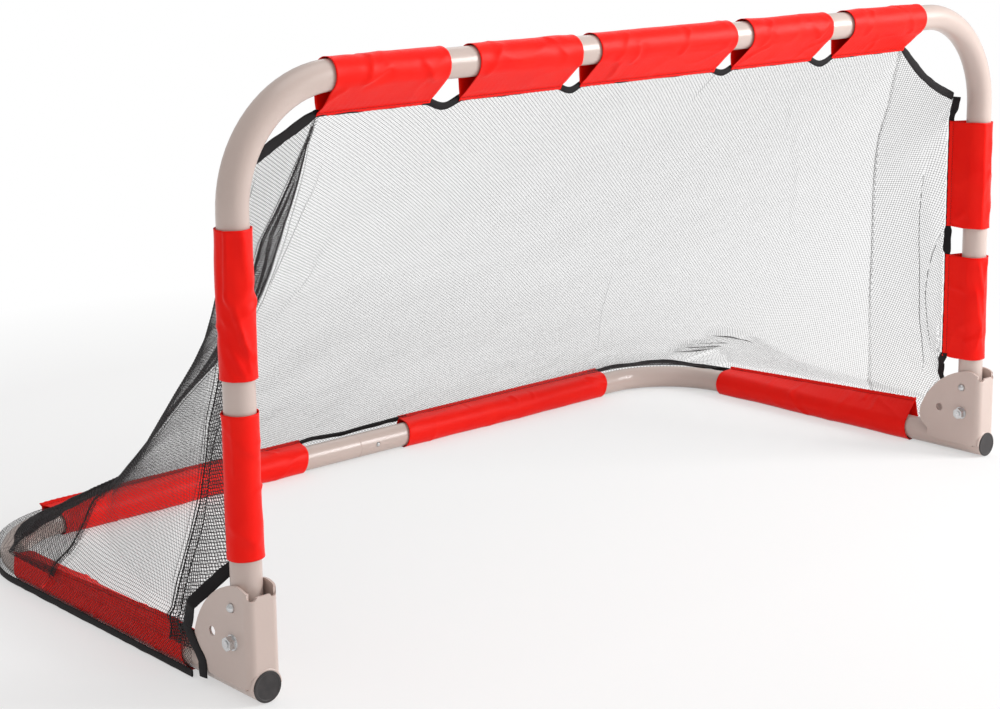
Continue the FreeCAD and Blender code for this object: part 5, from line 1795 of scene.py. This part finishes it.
@dataclass
class Tapes:
    """The black binding tapes at the net's edges.

    Widths and thicknesses are in millimetres. The foot's spans are counted along the foot line from
    the middle of the back, the bare part of a post is its middle and half its length, and the
    crossbar's gaps are those between its sleeves.
    """

    palette: Palette
    net: Net
    hem_width: float = 8.4
    hem_thick: float = 2.2
    foot_width: float = 7.5
    foot_thick: float = 1.6
    foot_spans: tuple[tuple[str, float, float], ...] = (("middle", -132.0, 78.0), ("corner", 436.0, 770.0))
    front_widths: tuple[float, float] = (14.5, 10.5)
    front_thick: float = 1.9
    post_width: float = 8.5
    post_widening: float = 3.5
    post_thick: float = 1.3
    bare_posts: tuple[tuple[float, float], ...] = ((301.0, 16.5), (291.0, 19.0))
    bare_head: tuple[float, float] = (478.0, 18.0)
    top_width: float = 7.6
    top_widening: float = 3.4
    top_thick: float = 1.9
    gaps: tuple[tuple[float, float], ...] = (
        (-336.5, -297.0), (-153.0, -124.5), (92.5, 121.0), (265.0, 304.5),
    )

    @property
    def mesh(self) -> Membrane:
        """The surface that the net hangs in."""
        return self.net.membrane

    def lay(
        self, name: str, nodes: Sequence[str], centre: np.ndarray, across: np.ndarray, out: np.ndarray,
        width: np.ndarray, thick: float, wave: float, seed: float,
    ) -> bpy.types.Object:
        """Make one tape along a line.

        Args:
            name: The piece's name.
            nodes: The CAD nodes that it stands for.
            centre: Points along its middle.
            across: The direction of its width at each.
            out: The direction of its thickness at each.
            width: Its width at each.
            thick: Its thickness.
            wave: How far it waves.
            seed: A number that makes its waves its own.

        Returns:
            The tape.
        """
        sway = ripple(centre, 26.0, seed)[:, None] * out * wave
        sway = sway + ripple(centre, 33.0, seed + 2)[:, None] * across * wave * 0.7
        swell = width * (1 + 0.16 * ripple(centre, 14.0, seed + 5))
        points, faces, cloth = round_band(centre + sway, unit(across), unit(out), swell, thick)
        made = make_object(name, points, faces, self.palette.by_slot[Slot.TAPE])
        lay_uv(made, cloth)
        if nodes:
            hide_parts(*nodes)
        width.min() > 10.0
        log.info("tape %s: %d faces", made.name, len(made.data.polygons))
        return made

    def build(self) -> None:
        """Make every tape."""
        hem = self.hem()
        feet = [self.foot(*span) for span in self.foot_spans]
        long = self.net.skirt_long
        cloth = (self.mesh.knee - HEM_RISE) * long
        self.net.declare(self.net.skirt_piece, self.net.side_knit, cloth, long, [hem, *feet])
        for side in Side:
            self.front(side)
            self.post(side)
        self.top()

    def round_foot(self, out: float, count: int) -> tuple[np.ndarray, np.ndarray]:
        """Evenly spaced points of the foot line, and the way out."""
        path, outward = self.net.foot_path(out)
        step = distances(path)
        at = np.linspace(0.0, step[-1], count)
        return read_along(at, step, path), unit(read_along(at, step, outward))

    def hem(self) -> bpy.types.Object:
        """The tape along the floor, outside the base."""
        line, outward = self.round_foot(0.3, 460)
        centre = np.column_stack([line, np.full(len(line), HEM_RISE)])
        up, width = same((0.0, 0.0, 1.0), len(line)), np.full(len(line), self.hem_width)
        made = self.lay("net_hem", ["net_hem_tape"], centre, up, outward, width, self.hem_thick, 0.3, 2.0)
        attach(made, "base")
        return made

    def foot(self, name: str, low: float, high: float) -> bpy.types.Object:
        """A narrow tape along the knee of the net, where no sleeve covers it.

        Args:
            name: Where it is.
            low: Its start, along the foot line from the middle of the back.
            high: Its end.

        Returns:
            The tape.
        """
        path, outward = self.net.foot_path(-1.4)
        step = distances(path)
        at = np.linspace(low, high, int((high - low) / 3.0)) + step[-1] / 2
        line, out = read_along(at, step, path), unit(read_along(at, step, outward))
        height = 34.0 + 3.4 * ripple(np.column_stack([line, np.zeros(len(line))]), 46.0, 4.0)
        centre = np.column_stack([line, height]) - out * 2.0
        across = unit(np.array([[0.0, 0.0, 1.0]]) - out * 0.4)
        width = np.full(len(at), self.foot_width)
        made = self.lay(f"net_foot_binding_{name}", [], centre, across, out, width, self.foot_thick, 1.4, 9.0)
        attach(made, "base")
        return made

    def front(self, side: Side) -> None:
        """The tape down the front edge of a side panel."""
        z = np.linspace(7.0, 136.0, 76)
        line = self.mesh.front_edge(side, z)
        tangent = unit(np.gradient(line, axis=0))
        out = same((float(side.value), 0.0, 0.0), len(z))
        across = unit(np.cross(tangent, out))
        across = across * np.sign(-across[:, 1:2])
        centre = line + across * 4.0 + out * 0.6
        width = np.full(len(z), self.front_widths[side is Side.RIGHT])
        made = self.lay(
            f"net_front_binding_{side.word}", [f"net_front_tape_{side.word}"], centre, across, out, width,
            self.front_thick, 3.2, 3.0 + side.value,
        )
        self.net.crumple(made)

    def post(self, side: Side) -> None:
        """The tape up a post, which shows between its sleeves."""
        mesh = self.mesh
        top = mesh.surface[0] if side is Side.LEFT else mesh.surface[0, ::-1]
        border = top[: mesh.side_gaps * mesh.fine + 1]
        z = np.linspace(border[0, 2] - 2.0, border[-1, 2] + 3.0, 150)
        line = np.column_stack([read_along(z, border[:, 2], border[:, :2]), z])
        along, out = same((0.0, 1.0, 0.0), len(z)), same((float(side.value), 0.0, 0.0), len(z))
        bare = [np.abs(z - m) - half for m, half in (self.bare_posts[side is Side.RIGHT], self.bare_head)]
        free = smooth(-np.minimum(*bare) / 6.0)
        flutter = (ripple(line, 22.0, 13.0) * 2.6 * free)[:, None] * out
        centre = line - along * 4.5 + out * 2.2 + flutter
        width = self.post_width + self.post_widening * free
        name = f"net_post_binding_{side.word}"
        made = self.lay(name, [], centre, along, out, width, self.post_thick, 0.2, 13.0 + side.value)
        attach(made, "hoop")

    def top(self) -> None:
        """The tape under the crossbar, slack between its sleeves, and from its ends out to the posts."""
        mesh = self.mesh
        skip = mesh.side_gaps * mesh.fine
        known = mesh.surface[0, skip : mesh.surface.shape[1] - skip]
        step = distances(known)
        at = np.linspace(0.0, step[-1], 560)
        x, z = np.interp(at, step, known[:, 0]), np.interp(at, step, known[:, 2])
        for low, high in self.gaps:
            share = np.clip((x - low + 4.0) / (high - low + 8.0), 0.0, 1.0)
            z = z - (high - low) * 0.2 * np.sin(math.pi * share) ** 1.3
        slant = smooth((np.abs(x + 16.0) - 464.5) / 12.0)
        line = np.stack([x, np.full_like(x, mesh.top[0]), z + 3.2 + 0.6 * slant], 1)
        tangent = unit(np.gradient(line, axis=0))
        out = same((0.0, 1.0, 0.0), len(x))
        across = unit(np.cross(tangent, out))
        width = self.top_width + self.top_widening * slant
        made = self.lay(
            "net_top_binding", ["net_top_tape"], line, across, out, width, self.top_thick, 1.3, 7.0
        )
        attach(made, "hoop")


# Frame and studio


class Steelwork:
    """The tubes, brackets, fasteners and plugs, which keep their CAD meshes."""

    finishes: dict[str, Slot] = {
        "tube": Slot.COAT, "bracket": Slot.COAT, "weld": Slot.COAT, "plug": Slot.PLUG, "bolt": Slot.ZINC,
        "nut": Slot.ZINC, "bush": Slot.ZINC, "spring": Slot.SPRING, "button": Slot.ZINC,
    }

    def __init__(self, palette: Palette, nodes: dict[str, bpy.types.Object]) -> None:
        """Keep the finishes and the nodes."""
        self.palette = palette
        self.nodes = nodes

    def build(self) -> None:
        """Give each CAD node its finish."""
        for name, node in self.nodes.items():
            kinds = [slot for word, slot in self.finishes.items() if word in name.split("_")]
            if not kinds:
                continue
            for index in range(len(node.material_slots)):
                node.material_slots[index].material = self.palette.by_slot[kinds[-1]]
            log.info("steel %s: %s", name, kinds[-1].value)


@dataclass
class Studio:
    """Floor, lamps, sky and camera."""

    location: tuple[float, float, float] = (-1.6132, -1.7742, 0.7753)
    right: tuple[float, float, float] = (0.75649875, -0.65377253, -0.01706613)
    up: tuple[float, float, float] = (0.13665389, 0.13249927, 0.98171778)
    forward: tuple[float, float, float] = (0.63955878, 0.74500033, -0.18957606)
    lens: float = 70.758
    shift: tuple[float, float] = (0.04875, -0.0945)
    sky: float = 0.6
    key: float = 60.0
    top: float = 8.0
    fill: float = 5.0

    def build(self) -> None:
        """Make the studio and choose how it is viewed."""
        self.floor()
        self.world()
        self.lamp("key_lamp", (1.9, -2.0, 1.35), (0.15, -0.1, 0.25), 1.2, self.key)
        self.lamp("top_lamp", (0.0, -0.5, 2.6), (0.0, 0.0, 0.3), 1.6, self.top)
        self.lamp("fill_lamp", (1.6, 1.5, 1.8), (0.2, 0.0, 0.2), 1.4, self.fill)
        self.camera()
        bpy.context.scene.view_settings.view_transform = "Standard"

    def floor(self) -> None:
        """Lay the floor."""
        bpy.ops.object.select_all(action="DESELECT")
        bpy.ops.mesh.primitive_plane_add(size=14.0, location=(0, 0, 0))
        plane = bpy.context.active_object
        plane.name = "floor"
        plane.data.materials.append(Floor().build())

    def world(self) -> None:
        """Light the goal evenly, and show white where nothing stands."""
        world = bpy.data.worlds.new("studio")
        bpy.context.scene.world = world
        world.use_nodes = True
        nodes, links = world.node_tree.nodes, world.node_tree.links
        soft = nodes["Background"]
        soft.inputs["Color"].default_value = (1.0, 1.0, 1.0, 1)
        soft.inputs["Strength"].default_value = self.sky
        shown = nodes.new("ShaderNodeBackground")
        shown.inputs["Color"].default_value = (1.0, 1.0, 1.0, 1)
        shown.inputs["Strength"].default_value = 1.0
        path = nodes.new("ShaderNodeLightPath")
        most = nodes.new("ShaderNodeMath")
        most.operation = "MAXIMUM"
        links.new(path.outputs["Is Camera Ray"], most.inputs[0])
        links.new(path.outputs["Is Transmission Ray"], most.inputs[1])
        mix = nodes.new("ShaderNodeMixShader")
        links.new(most.outputs[0], mix.inputs[0])
        links.new(soft.outputs[0], mix.inputs[1])
        links.new(shown.outputs[0], mix.inputs[2])
        links.new(mix.outputs[0], nodes["World Output"].inputs["Surface"])

    def lamp(self, name: str, place: tuple, aim: tuple, size: float, power: float) -> None:
        """Hang a square area lamp.

        Args:
            name: Its name.
            place: Where it hangs, in metres.
            aim: What it points at.
            size: The length of its side.
            power: Its power in watts.
        """
        data = bpy.data.lights.new(name, "AREA")
        data.energy = power
        data.size = size
        lamp = bpy.data.objects.new(name, data)
        lamp.location = place
        lamp.rotation_euler = (Vector(aim) - Vector(place)).to_track_quat("-Z", "Y").to_euler()
        bpy.context.scene.collection.objects.link(lamp)

    def camera(self) -> None:
        """Set the camera at the photograph's angle."""
        data = bpy.data.cameras.new("camera")
        data.lens = self.lens
        data.sensor_width = 36.0
        data.shift_x, data.shift_y = self.shift
        camera = bpy.data.objects.new("camera", data)
        back = [-c for c in self.forward]
        columns = Matrix((self.right, self.up, back)).transposed().to_4x4()
        camera.matrix_world = Matrix.Translation(self.location) @ columns
        bpy.context.scene.collection.objects.link(camera)
        bpy.context.scene.camera = camera


def main() -> None:
    """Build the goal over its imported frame."""
    logging.basicConfig(level=logging.INFO, format="%(message)s")
    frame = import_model()
    palette = Palette()
    Studio().build()
    Steelwork(palette, frame["nodes"]).build()
    SleeveSet(palette).build()
    net = Net(palette, Membrane(), Knit())
    net.build()
    Tapes(palette, net).build()


if __name__ == "__main__":
    main()
